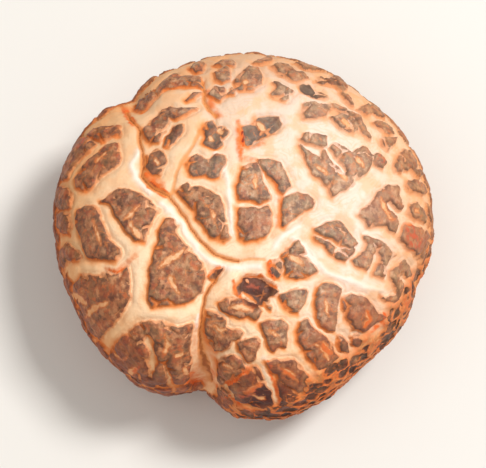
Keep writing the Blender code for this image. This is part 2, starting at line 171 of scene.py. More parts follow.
PLATES = (
    # upper left lobe, clockwise from the notch
    ((-13.3, 16.2), (-12.4, 15.5), (-11.3, 16.4), (-9.8, 17.7), (-8.3, 17.9), (-6.3, 18.2), (-5.0, 18.2),
     (-5.5, 19.1), (-8.6, 19.4), (-10.0, 18.4), (-11.4, 17.4)),
    ((-6.9, 16.1), (-6.0, 16.4), (-5.2, 17.3), (-6.2, 17.0)),
    ((-12.1, 13.2), (-11.0, 14.1), (-9.8, 14.9), (-8.8, 15.4), (-7.4, 14.9), (-5.7, 15.3), (-7.0, 14.5),
     (-8.1, 13.9), (-9.1, 14.1), (-9.5, 13.0), (-9.9, 12.2), (-10.2, 11.2), (-11.3, 11.3), (-12.0, 12.2)),
    ((-9.3, 11.9), (-8.6, 12.9), (-7.4, 13.1), (-7.3, 12.4), (-8.0, 11.6), (-8.8, 10.7), (-9.3, 10.7)),
    ((-11.7, 9.7), (-10.4, 10.2), (-9.5, 9.9), (-9.2, 8.8), (-9.6, 8.0), (-10.0, 7.3), (-11.0, 7.7),
     (-11.8, 8.5)),
    ((-19.0, 12.0), (-18.2, 12.9), (-17.0, 13.2), (-15.2, 13.4), (-15.0, 12.3), (-16.2, 12.0), (-16.9, 11.4),
     (-17.8, 11.6)),
    ((-19.9, 5.8), (-20.2, 6.9), (-19.4, 8.1), (-18.4, 9.1), (-17.4, 10.0), (-16.6, 10.8), (-15.3, 11.1),
     (-14.9, 9.9), (-15.1, 8.7), (-16.0, 7.9), (-17.2, 6.9), (-18.1, 5.9), (-18.9, 5.4)),
    ((-22.2, 6.6), (-22.1, 8.0), (-21.7, 9.6), (-20.8, 11.0), (-19.8, 11.7), (-18.9, 11.6), (-17.9, 10.9),
     (-18.8, 10.0), (-19.9, 9.1), (-20.7, 8.1), (-21.2, 6.9)),
    ((-22.9, 5.4), (-22.2, 5.7), (-21.3, 5.4), (-20.7, 4.6), (-20.8, 3.4), (-21.7, 3.0), (-22.6, 3.4),
     (-22.9, 4.4)),
    ((-22.5, 2.6), (-20.8, 2.3), (-20.5, 1.0), (-20.8, 0.2), (-21.9, 0.3), (-22.6, 1.0)),
    # left side
    ((-19.7, 2.9), (-18.9, 3.4), (-17.5, 3.1), (-16.9, 1.8), (-16.2, 0.2), (-15.3, -1.0), (-14.3, -2.2),
     (-15.2, -3.0), (-16.8, -2.7), (-18.4, -2.7), (-19.0, -1.4), (-19.3, 0.2), (-19.9, 1.6)),
    ((-16.9, 4.0), (-15.6, 5.0), (-14.2, 5.5), (-12.7, 5.1), (-11.2, 4.1), (-9.9, 3.1), (-10.8, 2.3),
     (-11.3, 0.6), (-11.8, -0.5), (-12.7, -0.6), (-13.8, 0.6), (-15.1, 2.4), (-15.7, 3.6)),
    ((-9.0, 2.1), (-8.2, 1.9), (-8.1, 0.5), (-7.5, -0.6), (-6.2, -1.8), (-5.1, -3.0), (-4.6, -4.4),
     (-4.6, -5.3), (-5.1, -6.6), (-5.9, -7.4), (-7.1, -7.9), (-9.0, -7.9), (-10.6, -8.2), (-11.2, -7.3),
     (-11.1, -6.4), (-10.8, -5.2), (-10.9, -4.2), (-10.4, -3.0), (-10.3, -1.4), (-9.8, -0.4), (-9.9, 0.6)),
    ((-22.0, -1.9), (-21.2, -1.1), (-20.4, -1.4), (-19.5, -2.5), (-19.9, -2.9), (-20.8, -3.0), (-21.6, -4.2),
     (-22.2, -3.0)),
    ((-19.2, -4.8), (-17.2, -4.9), (-16.2, -4.4), (-15.6, -4.9), (-14.4, -4.5), (-13.6, -3.8), (-13.5, -5.4),
     (-13.4, -7.2), (-13.7, -8.3), (-15.3, -10.2), (-17.1, -12.3), (-17.8, -11.9), (-18.6, -11.0),
     (-19.3, -9.8), (-19.7, -8.6), (-20.3, -6.9), (-20.0, -6.0)),
    ((-16.0, -14.1), (-14.7, -12.5), (-13.2, -11.2), (-12.2, -10.4), (-11.8, -11.4), (-11.9, -12.7),
     (-11.3, -13.9), (-11.6, -15.1), (-11.2, -16.3), (-11.7, -17.2), (-13.0, -16.8), (-14.3, -16.4),
     (-15.3, -15.6)),
    ((-11.2, -10.3), (-9.6, -10.3), (-7.8, -10.9), (-6.0, -10.4), (-6.1, -11.8), (-6.2, -13.6),
     (-6.1, -15.2), (-6.2, -16.4), (-6.3, -17.4), (-7.1, -17.9), (-8.0, -18.0), (-8.4, -16.7), (-9.1, -15.2),
     (-9.6, -15.2), (-9.4, -16.6), (-8.9, -18.1), (-10.8, -17.8), (-10.6, -16.3), (-10.0, -15.2),
     (-10.3, -13.9), (-10.4, -12.7), (-11.3, -11.5)),
    ((-12.4, -10.8), (-11.9, -10.2), (-11.0, -10.2), (-10.7, -11.4), (-11.6, -11.8), (-12.2, -11.4)),
    ((-12.5, -16.7), (-11.6, -17.0), (-10.5, -17.0), (-10.3, -17.9), (-11.6, -18.2), (-12.8, -17.6)),
    # middle
    ((-7.9, 5.3), (-7.3, 5.9), (-6.7, 6.1), (-6.3, 5.5), (-5.2, 5.7), (-4.1, 5.2), (-3.0, 4.4), (-2.5, 3.5),
     (-2.3, 2.4), (-2.2, 1.2), (-1.8, -0.1), (-2.5, -0.5), (-3.5, -0.1), (-4.6, 1.0), (-5.3, 2.2),
     (-6.0, 3.4), (-6.9, 4.4)),
    ((-6.7, 8.3), (-6.2, 9.2), (-5.5, 9.6), (-4.8, 9.0), (-4.2, 8.9), (-3.2, 9.5), (-2.4, 9.3), (-2.3, 8.2),
     (-2.9, 7.0), (-3.6, 6.9), (-4.5, 7.3), (-5.2, 7.1), (-6.2, 7.2)),
    ((-4.6, 13.4), (-4.0, 13.7), (-3.6, 13.0), (-3.3, 12.2), (-2.8, 11.6), (-2.5, 10.6), (-3.2, 10.3),
     (-4.1, 10.6), (-4.7, 10.9), (-4.5, 11.9), (-4.9, 12.7)),
    ((-3.2, 12.7), (-2.5, 12.8), (-1.9, 12.3), (-2.3, 11.7), (-2.9, 12.0)),
    ((-4.2, 17.2), (-3.4, 17.9), (-2.4, 17.6), (-2.3, 16.9), (-3.0, 16.4), (-3.7, 16.6)),
    ((-1.8, 17.0), (-1.4, 17.5), (-0.9, 17.3), (-1.2, 16.9)),
    ((-0.9, 18.0), (-1.0, 18.9), (-0.2, 19.5), (0.6, 20.3), (1.6, 20.2), (2.1, 19.3), (2.0, 18.1),
     (1.2, 17.5), (0.0, 17.3), (-0.7, 17.3)),
    ((-3.5, 19.8), (-2.7, 20.3), (-1.9, 20.1), (-1.7, 19.5), (-1.8, 18.9), (-2.6, 18.5), (-3.3, 18.8)),
    ((-6.4, 20.4), (-5.7, 20.9), (-4.9, 20.9), (-5.1, 20.2), (-5.9, 19.9)),
    ((-3.6, 20.8), (-2.5, 21.3), (-1.2, 21.0), (-1.3, 20.5), (-2.6, 20.6)),
    ((1.2, 20.7), (2.0, 21.2), (3.2, 21.6), (3.3, 21.1), (2.2, 20.7)),
    # upper right
    ((3.5, 20.4), (4.2, 20.7), (5.4, 20.3), (5.9, 19.8), (7.3, 19.4), (7.7, 18.9), (6.2, 18.5), (5.2, 18.9),
     (4.4, 19.3), (4.0, 19.9)),
    ((6.1, 20.8), (7.0, 20.9), (8.2, 20.6), (9.6, 20.1), (8.2, 20.0), (7.0, 20.3)),
    ((3.6, 18.2), (4.5, 17.8), (5.2, 17.5), (5.8, 17.1), (5.3, 16.8), (5.2, 16.2), (4.7, 15.9), (4.2, 16.4),
     (3.3, 16.7), (4.0, 17.4)),
    ((6.7, 17.8), (7.2, 18.3), (8.0, 18.3), (8.3, 17.7), (9.2, 17.3), (9.9, 16.5), (8.7, 16.5), (7.6, 16.9),
     (6.9, 17.2)),
    ((8.6, 18.6), (9.2, 19.1), (9.6, 18.7), (10.6, 18.9), (11.3, 19.3), (12.0, 18.6), (12.4, 17.7),
     (12.0, 17.2), (11.4, 17.8), (10.6, 18.2), (9.4, 18.2)),
    ((11.7, 17.0), (12.6, 16.9), (13.2, 15.4), (12.4, 15.9)),
    ((7.1, 15.5), (7.9, 15.8), (9.0, 15.5), (10.3, 15.6), (11.8, 15.3), (13.1, 14.7), (13.9, 14.0),
     (14.6, 12.7), (15.0, 11.5), (14.2, 12.0), (13.6, 13.0), (13.0, 13.9), (12.2, 14.5), (11.0, 14.9),
     (9.8, 14.9), (9.6, 14.1), (8.4, 13.9), (7.0, 13.9)),
    ((10.3, 14.0), (11.3, 14.4), (12.4, 14.1), (13.3, 13.3), (13.4, 12.4), (12.9, 12.0), (12.0, 12.3),
     (11.2, 13.0)),
    ((6.7, 11.3), (7.2, 12.0), (8.6, 11.9), (9.6, 11.6), (9.7, 10.6), (9.2, 10.3), (8.0, 10.8), (7.2, 10.9)),
    ((-0.1, 12.8), (0.8, 13.2), (1.6, 14.1), (2.7, 14.2), (3.9, 14.0), (4.2, 13.2), (3.7, 12.3), (2.5, 11.9),
     (1.4, 11.5), (0.5, 10.6), (0.1, 11.2)),
    ((-0.1, 7.9), (0.6, 8.2), (1.5, 8.3), (1.9, 7.4), (2.2, 6.2), (2.7, 5.2), (3.0, 4.2), (1.7, 3.8),
     (0.5, 4.3), (-0.4, 4.4), (-0.7, 5.6), (-0.3, 6.9)),
    ((1.8, 8.7), (3.0, 8.7), (4.1, 8.6), (4.6, 7.5), (5.2, 6.4), (5.4, 5.8), (4.6, 5.1), (4.1, 5.3),
     (3.6, 6.2), (2.8, 7.3), (2.1, 8.1)),
    ((4.8, 4.3), (5.6, 4.6), (6.3, 4.9), (7.4, 4.6), (8.1, 3.9), (8.0, 3.3), (7.0, 3.0), (6.0, 2.2),
     (5.0, 1.4), (4.5, 1.1), (4.4, 2.2), (4.5, 3.4)),
    ((-0.4, 3.2), (0.7, 3.1), (1.6, 3.1), (2.8, 3.3), (3.0, 2.2), (3.2, 1.1), (2.6, 0.1), (1.5, -0.3),
     (0.3, -0.5), (-0.4, -0.3), (-0.6, 0.9), (-0.6, 2.2)),
    ((6.6, 10.5), (7.4, 9.8), (8.8, 9.0), (9.4, 9.9), (10.0, 8.8), (11.0, 7.9), (11.5, 6.9), (12.2, 7.4),
     (11.6, 8.4), (10.9, 9.3), (10.2, 10.3), (10.8, 10.8), (11.9, 10.1), (12.9, 9.5), (13.5, 10.2),
     (14.6, 10.3), (15.2, 9.5), (15.0, 8.2), (14.3, 7.3), (13.3, 6.6), (12.3, 5.6), (11.2, 5.0), (10.3, 4.4),
     (9.9, 5.6), (9.0, 6.5), (8.0, 7.2), (7.3, 8.8)),
    ((15.3, 9.2), (15.9, 9.6), (16.5, 9.1), (16.8, 8.6), (16.3, 7.9), (15.5, 8.2)),
    ((15.5, 13.4), (16.2, 13.6), (16.9, 13.1), (17.6, 12.8), (17.9, 12.2), (17.3, 12.1), (16.4, 12.6)),
    ((16.5, 11.4), (17.2, 11.7), (18.3, 11.7), (17.8, 10.9), (17.0, 10.1), (16.5, 10.7)),
    ((13.9, 15.1), (14.7, 15.6), (15.9, 15.6), (16.7, 14.8), (17.0, 14.1), (16.4, 14.2), (15.4, 14.7),
     (14.6, 14.4)),
    # right side
    ((18.0, 8.4), (18.4, 9.3), (19.3, 10.2), (19.9, 10.0), (20.5, 9.0), (20.9, 8.0), (21.5, 7.1),
     (21.0, 6.9), (20.3, 7.5), (19.8, 8.0), (19.0, 7.9), (18.7, 7.4), (18.2, 7.6)),
    ((19.2, 5.6), (19.7, 6.4), (20.5, 6.5), (21.3, 6.2), (21.9, 5.2), (21.4, 4.8), (20.6, 5.1), (19.8, 5.1)),
    ((15.7, 4.8), (16.7, 5.8), (18.2, 5.8), (18.6, 5.3), (18.3, 4.6), (18.9, 3.6), (18.6, 3.0), (17.9, 3.3),
     (17.3, 4.2), (16.6, 3.9), (16.9, 3.0), (17.5, 2.5), (18.1, 2.1), (18.2, 1.3), (17.8, 0.2), (17.2, 0.4),
     (16.9, 1.1), (15.9, 1.1), (14.6, 0.9), (14.1, 1.7), (13.4, 2.4), (14.4, 3.3), (15.3, 4.2)),
    ((19.6, 2.7), (20.0, 3.6), (20.6, 3.7), (21.3, 3.1), (22.0, 2.0), (21.8, 1.4), (21.0, 1.9), (20.2, 2.2)),
    ((22.0, 3.8), (22.6, 3.0), (22.9, 1.6), (22.4, 1.0), (22.2, 2.2)),
    ((18.6, 0.4), (19.2, 1.3), (20.2, 1.0), (21.2, 0.8), (22.1, 0.3), (22.3, -0.9), (21.7, -1.9),
     (21.6, -2.9), (21.0, -3.0), (20.4, -2.1), (19.6, -1.6), (18.8, -0.9), (18.4, -0.3)),
    ((14.2, -0.1), (15.5, -0.5), (16.6, -1.2), (17.9, -2.4), (17.2, -2.9), (16.9, -3.8), (16.5, -4.9),
     (15.2, -4.6), (15.6, -3.5), (16.1, -2.4), (15.7, -1.6), (15.0, -2.2), (14.8, -3.1), (14.4, -4.0),
     (13.5, -3.6), (12.7, -3.1), (13.6, -2.3), (14.4, -1.6), (14.6, -0.9)),
    ((8.3, 0.7), (9.5, 1.3), (11.0, 1.6), (12.1, 0.5), (13.1, -0.9), (12.6, -1.5), (11.6, -1.2),
     (10.4, -0.6), (9.2, 0.1)),
    ((8.1, -0.2), (8.8, -0.5), (9.9, -1.1), (10.8, -1.6), (12.0, -1.9), (12.9, -1.6), (12.5, -2.3),
     (11.8, -3.0), (10.8, -2.6), (10.0, -1.9), (9.2, -1.0), (8.4, -0.5)),
    ((17.4, -4.2), (18.2, -3.5), (18.9, -3.1), (19.6, -3.9), (20.0, -4.8), (19.2, -5.0), (18.7, -4.2),
     (18.5, -5.0), (18.8, -6.0), (18.9, -7.0), (18.1, -7.2), (17.9, -6.0), (17.3, -5.0)),
    ((16.2, -7.3), (17.5, -7.2), (19.2, -7.5), (18.8, -8.2), (17.6, -7.9)),
    # lower right
    ((4.3, -2.4), (5.3, -1.5), (6.3, -0.8), (6.8, -1.7), (7.6, -3.0), (8.4, -4.3), (7.5, -4.7), (6.0, -5.0),
     (5.1, -4.9), (4.9, -3.6), (4.8, -2.8)),
    ((3.0, -3.2), (3.9, -2.8), (4.3, -3.3), (4.3, -4.5), (3.9, -4.8), (3.1, -4.3)),
    ((-0.7, -6.2), (0.1, -5.1), (1.2, -4.9), (2.1, -5.1), (2.9, -5.8), (3.7, -6.5), (3.4, -7.0), (2.6, -7.2),
     (2.8, -7.9), (3.1, -8.5), (2.2, -8.0), (1.5, -7.4), (0.8, -6.9), (-0.2, -6.4), (-0.6, -7.0)),
    ((-2.8, -7.9), (-2.0, -7.3), (-1.0, -7.4), (0.2, -7.7), (1.6, -8.0), (2.1, -8.9), (1.3, -9.7),
     (0.4, -9.3), (-0.6, -9.5), (-1.7, -9.2), (-2.6, -8.6)),
    ((-4.1, -4.8), (-3.2, -4.1), (-2.3, -3.8), (-2.7, -4.3), (-3.5, -4.8)),
    ((4.1, -7.0), (5.2, -6.6), (6.4, -6.2), (7.3, -6.3), (7.2, -7.2), (6.8, -8.2), (6.3, -9.0), (5.5, -8.8),
     (4.8, -8.2)),
    ((8.7, -6.4), (9.6, -5.6), (10.6, -5.9), (11.3, -6.4), (10.9, -7.8), (10.6, -9.0), (10.7, -10.2),
     (10.6, -11.1), (9.8, -11.0), (9.0, -10.5), (8.4, -9.4), (8.3, -7.8)),
    ((6.6, -10.2), (7.3, -9.9), (7.9, -10.9), (8.7, -11.5), (9.6, -12.1), (10.4, -12.9), (10.7, -13.9),
     (11.2, -14.9), (10.4, -15.5), (9.6, -15.9), (8.5, -15.6), (8.0, -14.6), (7.1, -13.6), (6.6, -12.4),
     (6.4, -11.3)),
    ((2.0, -10.3), (3.0, -9.9), (4.2, -9.9), (4.9, -10.4), (4.9, -11.8), (4.8, -13.0), (4.1, -12.7),
     (3.4, -13.4), (2.9, -12.8), (2.6, -11.6)),
    ((-0.9, -12.6), (0.2, -12.1), (1.2, -11.9), (1.7, -12.4), (1.4, -13.5), (1.0, -14.4), (0.4, -14.7),
     (-0.1, -13.9), (-0.6, -13.3)),
    ((-4.2, -9.1), (-3.2, -9.3), (-2.4, -9.9), (-2.6, -10.8), (-1.4, -11.1), (-0.2, -11.2), (-0.6, -11.8),
     (-1.7, -12.2), (-2.1, -13.0), (-3.0, -13.5), (-4.1, -13.7), (-4.3, -12.0), (-4.4, -10.4)),
    ((-3.6, -15.0), (-2.4, -14.4), (-1.2, -14.2), (-0.4, -14.7), (0.0, -15.6), (-0.6, -16.3), (-1.7, -16.7),
     (-2.6, -17.4), (-3.2, -18.0), (-3.5, -16.8)),
    ((0.4, -16.3), (1.1, -15.3), (1.8, -15.8), (2.2, -16.8), (2.6, -17.8), (3.2, -19.0), (3.4, -19.9),
     (2.4, -20.4), (0.9, -20.2), (-0.2, -19.8), (-1.2, -19.5), (-1.5, -18.7), (-2.1, -18.0), (-0.9, -17.2)),
    ((-3.7, -18.5), (-3.0, -18.4), (-2.4, -18.6), (-1.9, -19.2), (-1.5, -20.0), (-2.0, -20.6), (-2.9, -20.4),
     (-3.5, -19.6)),
    ((-0.9, -20.3), (0.2, -20.5), (1.2, -21.0), (2.0, -21.5), (0.6, -21.7), (-0.6, -21.2)),
    ((2.7, -14.7), (4.2, -14.6), (5.6, -14.6), (6.7, -15.5), (7.4, -16.7), (7.7, -17.8), (7.2, -18.5),
     (6.3, -18.4), (5.2, -17.6), (4.2, -16.8), (3.4, -16.0)),
    ((3.9, -16.9), (4.6, -17.5), (5.4, -18.2), (6.2, -18.8), (6.0, -19.6), (5.0, -20.1), (4.2, -19.9),
     (4.6, -19.2), (4.1, -18.2)),
    ((7.9, -16.9), (8.8, -16.4), (9.6, -17.2), (9.4, -18.2), (8.6, -18.6), (8.1, -17.9)),
    ((6.7, -19.0), (7.6, -18.8), (8.4, -19.2), (7.9, -19.9), (6.9, -19.9)),
    ((11.5, -7.4), (12.5, -6.9), (13.8, -7.3), (14.9, -8.2), (15.7, -9.2), (16.5, -9.6), (15.9, -10.1),
     (15.0, -10.6), (14.2, -11.3), (12.9, -10.9), (12.2, -9.8), (11.7, -8.6)),
    ((11.2, -11.8), (11.6, -12.0), (12.2, -12.8), (12.2, -13.7), (11.6, -13.5), (11.2, -12.8)),
    ((12.7, -12.0), (13.4, -11.8), (14.0, -12.3), (13.6, -13.1), (12.8, -12.9)),
    ((10.1, -16.1), (11.0, -15.2), (11.9, -15.0), (11.5, -16.2), (10.6, -16.9)),
)

STREAKS = (
    Streak(0.30, ((-7.0, -1.6), (-8.1, -2.6), (-9.1, -3.1), (-9.9, -3.8))),
    Streak(0.22, ((-8.6, -4.6), (-8.4, -5.6), (-7.6, -6.8))),
    Streak(0.18, ((-12.3, 3.6), (-13.4, 2.2), (-14.0, 1.7))),
    Streak(0.24, ((-13.3, 1.5), (-12.7, 0.5), (-12.1, -0.3))),
    Streak(0.34, ((-18.7, -9.7), (-17.7, -8.7), (-15.9, -7.8))),
    Streak(0.50, ((-20.6, -7.2), (-19.6, -7.3), (-18.6, -8.0))),
    Streak(0.26, ((-20.2, -9.3), (-19.4, -10.7), (-18.5, -12.1))),
    Streak(0.26, ((-9.2, -11.7), (-8.9, -12.9), (-9.1, -13.8))),
    Streak(0.30, ((-8.0, -14.4), (-7.1, -14.1))),
    Streak(0.24, ((-7.0, -15.9), (-6.3, -16.8))),
    Streak(0.40, ((-13.6, -16.4), (-12.5, -15.5))),
    Streak(0.16, ((-15.4, -13.9), (-14.3, -14.9), (-13.7, -14.2))),
    Streak(0.45, ((11.6, 13.6), (12.5, 12.7))),
    Streak(0.35, ((20.4, 3.0), (20.6, 2.8))),
    Streak(0.28, ((13.1, 9.0), (14.0, 7.9))),
    Streak(0.26, ((11.2, 7.3), (11.9, 6.3))),
    Streak(0.20, ((8.5, 8.1), (9.6, 7.0))),
    Streak(0.34, ((1.6, 13.5), (2.5, 12.5))),
    Streak(0.30, ((-3.0, 12.6), (-2.6, 12.3))),
    Streak(0.26, ((-4.0, 11.8), (-3.8, 11.3))),
    Streak(0.22, ((-0.4, 18.2), (0.4, 18.1))),
    Streak(0.22, ((-1.8, -8.5), (-0.4, -8.2), (1.0, -8.8))),
    Streak(0.20, ((15.9, 4.4), (16.5, 3.0), (17.4, 1.6))),
    Streak(0.18, ((4.9, -2.3), (5.9, -2.8), (6.9, -3.5))),
    Streak(0.22, ((8.2, -12.6), (9.4, -13.4), (9.8, -14.6))),
    Streak(0.26, ((14.2, -8.7), (14.6, -9.8), (14.0, -10.7))),
    Streak(0.22, ((-3.6, -10.7), (-2.8, -11.2), (-2.2, -11.0))),
    Streak(0.20, ((-2.6, -15.1), (-1.4, -15.6))),
    Streak(0.34, ((0.0, -18.5), (1.0, -18.0), (2.0, -17.4))),
    Streak(0.22, ((0.9, -18.6), (1.5, -19.2), (2.7, -19.5))),
    Streak(0.24, ((8.8, -12.4), (9.6, -13.1), (10.2, -13.9))),
    Streak(0.24, ((4.4, -15.4), (5.3, -15.9), (5.9, -16.6))),
    Streak(0.20, ((5.0, -18.4), (5.5, -19.3), (5.2, -20.0))),
    Streak(0.20, ((4.4, -15.8), (5.6, -16.3), (6.4, -17.2))),
    Streak(0.18, ((2.9, -10.9), (3.9, -11.6))),
    Streak(0.16, ((-10.6, 9.2), (-10.2, 8.4))),
    Streak(0.20, ((-17.6, 8.6), (-16.4, 9.9))),
    Streak(0.16, ((-17.6, 1.8), (-17.2, 0.2), (-16.6, -1.2))),
    Streak(0.16, ((1.2, 6.9), (1.4, 5.4))),
    Streak(0.14, ((-4.6, 3.6), (-3.6, 2.6), (-3.4, 1.4))),
    Streak(0.16, ((9.4, -7.4), (9.7, -9.4))),
)

CREASES = (
    Crease(1.0, 0.21, ((-14.4, 16.4), (-14.0, 14.8), (-12.7, 13.1), (-12.8, 12.0), (-12.3, 10.4),
                       (-12.2, 8.4), (-12.3, 7.2), (-11.0, 5.8), (-9.0, 4.8), (-8.0, 3.6), (-7.0, 2.3),
                       (-6.2, 0.8), (-5.2, -0.5), (-3.4, -2.1), (-1.8, -2.7), (-0.7, -2.8))),
    Crease(0.25, 0.16, ((-0.7, -2.8), (0.8, -2.7), (2.4, -2.7))),
    Crease(1.0, 0.14, ((-4.8, -13.0), (-4.7, -16.0), (-4.6, -20.0))),
    Crease(1.0, 0.20, ((-3.4, -4.9), (-4.6, -7.0), (-4.9, -8.6), (-4.9, -12.0), (-4.8, -15.5),
                       (-4.7, -19.5))),
    Crease(0.30, 0.18, ((-8.7, 4.9), (-8.2, 6.4), (-7.5, 8.6), (-6.2, 10.4), (-5.2, 12.6))),
    Crease(0.60, 0.18, ((-5.1, 18.9), (-4.9, 17.4), (-4.8, 16.0), (-4.2, 15.0), (-3.4, 14.3))),
)

# Raised lines in the flesh, painted brighter along their tops as highlights.
RIDGES = (
    Ridge(0.34, ((5.9, -0.2), (7.2, -1.8), (8.4, -3.3), (9.5, -4.3), (11.6, -5.1), (14.0, -5.9),
                 (17.0, -6.9))),
    Ridge(0.30, ((3.6, -1.4), (4.6, 0.0), (6.2, 1.0))),
    Ridge(0.32, ((-3.4, 9.8), (-2.0, 7.2), (-1.6, 4.0), (-1.4, 0.4))),
    Ridge(0.34, ((2.3, -14.3), (2.6, -16.2), (3.1, -18.0), (3.8, -19.6))),
    Ridge(0.42, ((-9.6, 3.9), (-8.0, 2.2), (-6.6, 0.0), (-5.4, -1.8), (-3.8, -3.2), (-1.8, -3.7),
                 (2.0, -3.6))),
    Ridge(0.16, ((-5.4, -9.4), (-5.5, -11.0))),
    Ridge(0.40, ((-12.6, 10.2), (-13.4, 8.6), (-12.8, 6.9), (-11.2, 5.2))),
)

# Orange strokes: partly the flesh's own colour, partly painted shade in shadowed creases and walls.
EMBERS = (
    Ember(0.40, 0.55, ((-0.70, 13.5), (-0.60, 12.6))),
    Ember(0.62, 0.62, ((-0.60, 12.6), (-0.52, 11.4), (-0.42, 9.8))),
    Ember(0.40, 0.55, ((-0.42, 9.8), (-0.35, 8.8))),
    Ember(0.60, 0.45, ((0.2, 10.2), (1.4, 10.5), (2.2, 10.9))),
    Ember(0.50, 0.55, ((0.2, 9.0), (1.3, 8.8))),
    Ember(0.50, 0.45, ((4.2, 4.8), (4.2, 2.9), (4.0, 1.1))),
    Ember(0.20, 1.5, ((-0.22, 12.3), (-0.12, 11.4), (0.05, 10.6))),
    Ember(0.35, 0.9, ((-12.9, -16.0), (-12.3, -15.5))),
    Ember(0.25, 0.6, ((2.4, 8.2), (3.3, 6.8), (4.1, 5.0))),
    Ember(0.55, 1.0, ((-14.6, 16.2), (-14.2, 15.0), (-13.3, 13.8))),
    Ember(1.0, 0.60, ((-5.9, -17.2), (-5.1, -18.7))),
    Ember(0.50, 0.55, ((-4.3, -16.6), (-4.0, -18.8))),
    Ember(0.80, 0.30, ((-5.5, -11.0), (-5.5, -13.5), (-5.4, -16.6))),
    Ember(0.70, 0.34, ((-4.2, -12.0), (-4.0, -15.0), (-3.9, -18.6))),
    Ember(0.85, 0.55, ((-4.4, 17.4), (-4.2, 16.0), (-3.8, 15.0), (-3.3, 14.4))),
    Ember(0.26, 0.9, ((-19.0, 11.8), (-19.5, 10.9), (-19.8, 10.3))),
    Ember(0.50, 0.42, ((-16.2, -3.9), (-14.9, -4.3), (-14.0, -3.5), (-12.6, -2.4))),
    Ember(0.24, 0.75, ((-15.9, -4.1), (-14.8, -4.4), (-14.3, -4.0))),
    Ember(1.3, 1.15, ((19.6, 0.3), (20.0, -0.8))),
    Ember(0.45, 1.0, ((21.0, -0.5), (20.7, -1.6))),
    Ember(0.7, 0.9, ((16.2, 8.7), (16.0, 9.0))),
    Ember(0.85, 0.75, ((-11.6, 7.3), (-10.9, 6.5), (-10.0, 5.9))),
    Ember(0.50, 1.45, ((-11.2, 6.2), (-10.4, 5.7), (-9.2, 4.9))),
    Ember(0.30, 0.7, ((-4.2, -4.7), (-3.6, -4.1), (-3.0, -3.6))),
    Ember(0.30, 0.7, ((-1.3, -5.2), (-1.1, -6.4), (-0.4, -7.2))),
    Ember(0.32, 1.3, ((2.95, -3.0), (3.0, -4.0), (3.5, -4.9))),
    Ember(0.35, 0.7, ((0.2, -4.6), (2.0, -4.7), (3.6, -6.0))),
    Ember(0.50, 0.7, ((0.4, -5.7), (1.7, -6.1))),
    Ember(0.28, 0.7, ((4.1, -7.1), (4.6, -8.3))),
    Ember(0.55, 0.55, ((-2.5, -17.6), (-1.0, -16.8), (0.3, -15.6))),
    Ember(0.16, 1.1, ((-2.4, -17.9), (-0.9, -17.1), (0.4, -15.9))),
    Ember(0.50, 0.60, ((0.3, -18.4), (1.8, -17.5))),
    Ember(0.16, 1.0, ((0.4, -18.6), (1.9, -17.7))),
    Ember(0.28, 0.8, ((2.9, -14.6), (3.2, -16.6), (3.9, -18.6), (4.3, -19.9))),
    Ember(0.40, 1.0, ((-1.2, -20.0), (0.2, -20.4), (1.7, -20.9), (3.6, -20.7), (5.4, -20.1), (6.8, -19.5))),
    Ember(0.60, 0.9, ((-0.4, -19.0), (1.2, -18.4))),
    Ember(0.45, 0.8, ((-6.6, -17.9), (-5.3, -18.6))),
    Ember(0.40, 1.0, ((16.5, -9.4), (16.2, -10.2), (16.9, -11.2))),
    Ember(0.35, 0.8, ((14.3, -8.8), (14.7, -9.9), (14.0, -10.7))),
    Ember(0.35, 0.8, ((7.2, -17.8), (7.8, -18.6), (9.2, -18.8))),
    Ember(0.30, 0.8, ((14.2, -11.8), (15.8, -10.7))),
    Ember(0.45, 0.9, ((9.0, -12.8), (10.1, -13.8))),
    Ember(0.40, 0.7, ((4.2, -15.5), (5.8, -16.6))),
    Ember(0.35, 0.8, ((-3.2, -19.6), (-2.0, -19.3), (-1.2, -19.9))),
)

